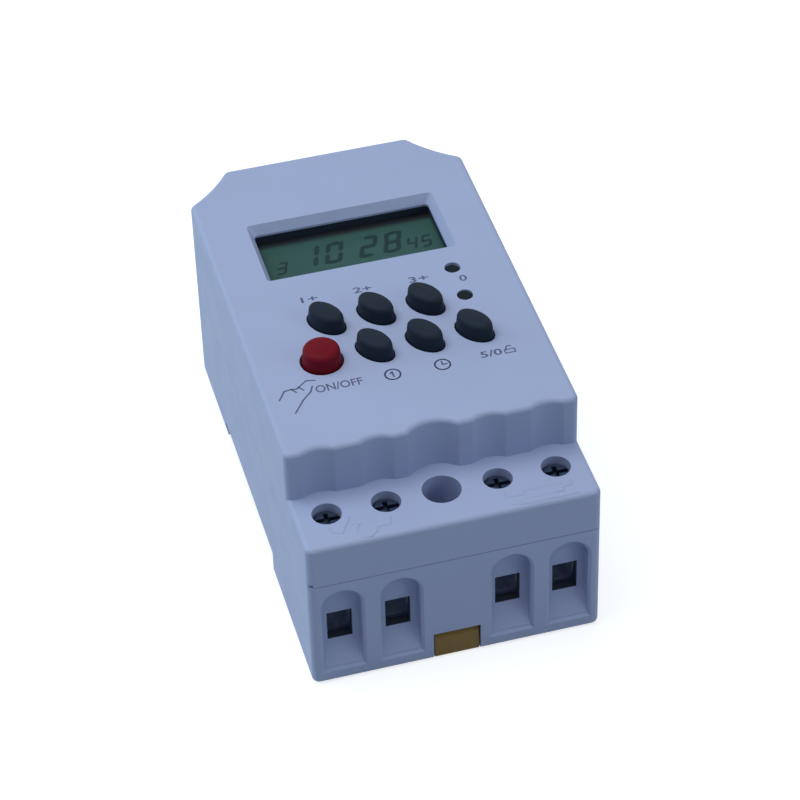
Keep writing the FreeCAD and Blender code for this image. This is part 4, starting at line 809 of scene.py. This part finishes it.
def make_floor():
    """Wide pale floor under the object."""
    mesh = bpy.data.meshes.new("floor")
    corners = [(-1, -1), (1, -1), (1, 1), (-1, 1)]
    mesh.from_pydata([(x * FLOOR_REACH, y * FLOOR_REACH, 0) for x, y in corners], [], [(0, 1, 2, 3)])
    floor = bpy.data.objects.new("floor", mesh)
    bpy.context.scene.collection.objects.link(floor)
    floor.location.z = -FLOOR_DROP
    mesh.materials.append(floor_material())


def floor_material():
    """Matt pale floor, white to the camera, in shiny faces and through glass, that keeps the shadow."""
    material = bpy.data.materials.new("floor_pale")
    material.use_nodes = True
    nodes = material.node_tree.nodes
    links = material.node_tree.links
    nodes.clear()
    output = nodes.new("ShaderNodeOutputMaterial")
    diffuse = nodes.new("ShaderNodeBsdfDiffuse")
    diffuse.inputs["Color"].default_value = (*FLOOR_COLOUR, 1.0)
    glow = nodes.new("ShaderNodeEmission")
    share = nodes.new("ShaderNodeMath")
    share.operation = "MULTIPLY"
    links.new(seen_rays(nodes, links), share.inputs[0])
    links.new(floor_level(nodes, links), share.inputs[1])
    links.new(share.outputs["Value"], glow.inputs["Strength"])
    both = nodes.new("ShaderNodeAddShader")
    links.new(diffuse.outputs["BSDF"], both.inputs[0])
    links.new(glow.outputs["Emission"], both.inputs[1])
    links.new(both.outputs["Shader"], output.inputs["Surface"])
    return material


def floor_level(nodes, links):
    """Strength of the floor's glow, which rises away from the object, where the lamps' light ends."""
    distance = nodes.new("ShaderNodeVectorMath")
    distance.operation = "LENGTH"
    links.new(nodes.new("ShaderNodeTexCoord").outputs["Object"], distance.inputs[0])
    level = nodes.new("ShaderNodeMapRange")
    level.inputs["From Min"].default_value = LIT_RADIUS
    level.inputs["From Max"].default_value = BARE_RADIUS
    level.inputs["To Min"].default_value = FLOOR_GLOW
    level.inputs["To Max"].default_value = 1.0
    links.new(distance.outputs["Value"], level.inputs["Value"])
    return level.outputs["Result"]


def seen_rays(nodes, links):
    """1 for camera, glossy and transmission rays."""
    rays = nodes.new("ShaderNodeLightPath")
    total = rays.outputs["Is Camera Ray"]
    for kind in ("Is Glossy Ray", "Is Transmission Ray"):
        larger = nodes.new("ShaderNodeMath")
        larger.operation = "MAXIMUM"
        links.new(total, larger.inputs[0])
        links.new(rays.outputs[kind], larger.inputs[1])
        total = larger.outputs["Value"]
    return total


def make_world():
    """Plain white surroundings, dim for the light they throw on the object."""
    world = bpy.data.worlds.new("studio")
    bpy.context.scene.world = world
    world.use_nodes = True
    nodes = world.node_tree.nodes
    links = world.node_tree.links
    nodes.clear()
    output = nodes.new("ShaderNodeOutputWorld")
    dim = nodes.new("ShaderNodeBackground")
    dim.inputs["Color"].default_value = (*WORLD_LIGHT, 1.0)
    white = nodes.new("ShaderNodeBackground")
    white.inputs["Color"].default_value = (1.0, 1.0, 1.0, 1.0)
    mix = nodes.new("ShaderNodeMixShader")
    links.new(seen_rays(nodes, links), mix.inputs["Fac"])
    links.new(dim.outputs["Background"], mix.inputs[1])
    links.new(white.outputs["Background"], mix.inputs[2])
    links.new(mix.outputs["Shader"], output.inputs["Surface"])


def area_light(name, position, power, size, colour):
    """Square soft light that looks at the object."""
    lamp = bpy.data.lights.new(name, "AREA")
    lamp.energy = power
    lamp.size = size
    lamp.color = colour
    piece = bpy.data.objects.new(name, lamp)
    piece.location = position
    piece.rotation_euler = (LIGHT_AIM - Vector(position)).to_track_quat("-Z", "Y").to_euler()
    bpy.context.scene.collection.objects.link(piece)


def make_camera():
    """Camera at the photograph's viewing angle."""
    lens = bpy.data.cameras.new("camera")
    lens.lens = CAMERA_LENS
    lens.sensor_width = CAMERA_SENSOR
    lens.clip_start, lens.clip_end = CAMERA_CLIP
    camera = bpy.data.objects.new("camera", lens)
    bpy.context.scene.collection.objects.link(camera)
    look = (Vector(CAMERA_AIM) - Vector(CAMERA_PLACE)).to_track_quat("-Z", "Y").to_matrix().to_4x4()
    roll = Matrix.Rotation(math.radians(CAMERA_ROLL), 4, "Z")
    camera.matrix_world = Matrix.Translation(CAMERA_PLACE) @ look @ roll
    bpy.context.scene.camera = camera


# ---- Pieces and studio ----
make_window()
make_reading()
make_legends()
make_caps()
make_pins()
make_latch_pad()
make_spring()
make_reliefs()
make_floor()
make_world()
for light in LIGHTS:
    area_light(*light)
make_camera()
bpy.context.scene.view_settings.view_transform = "Standard"
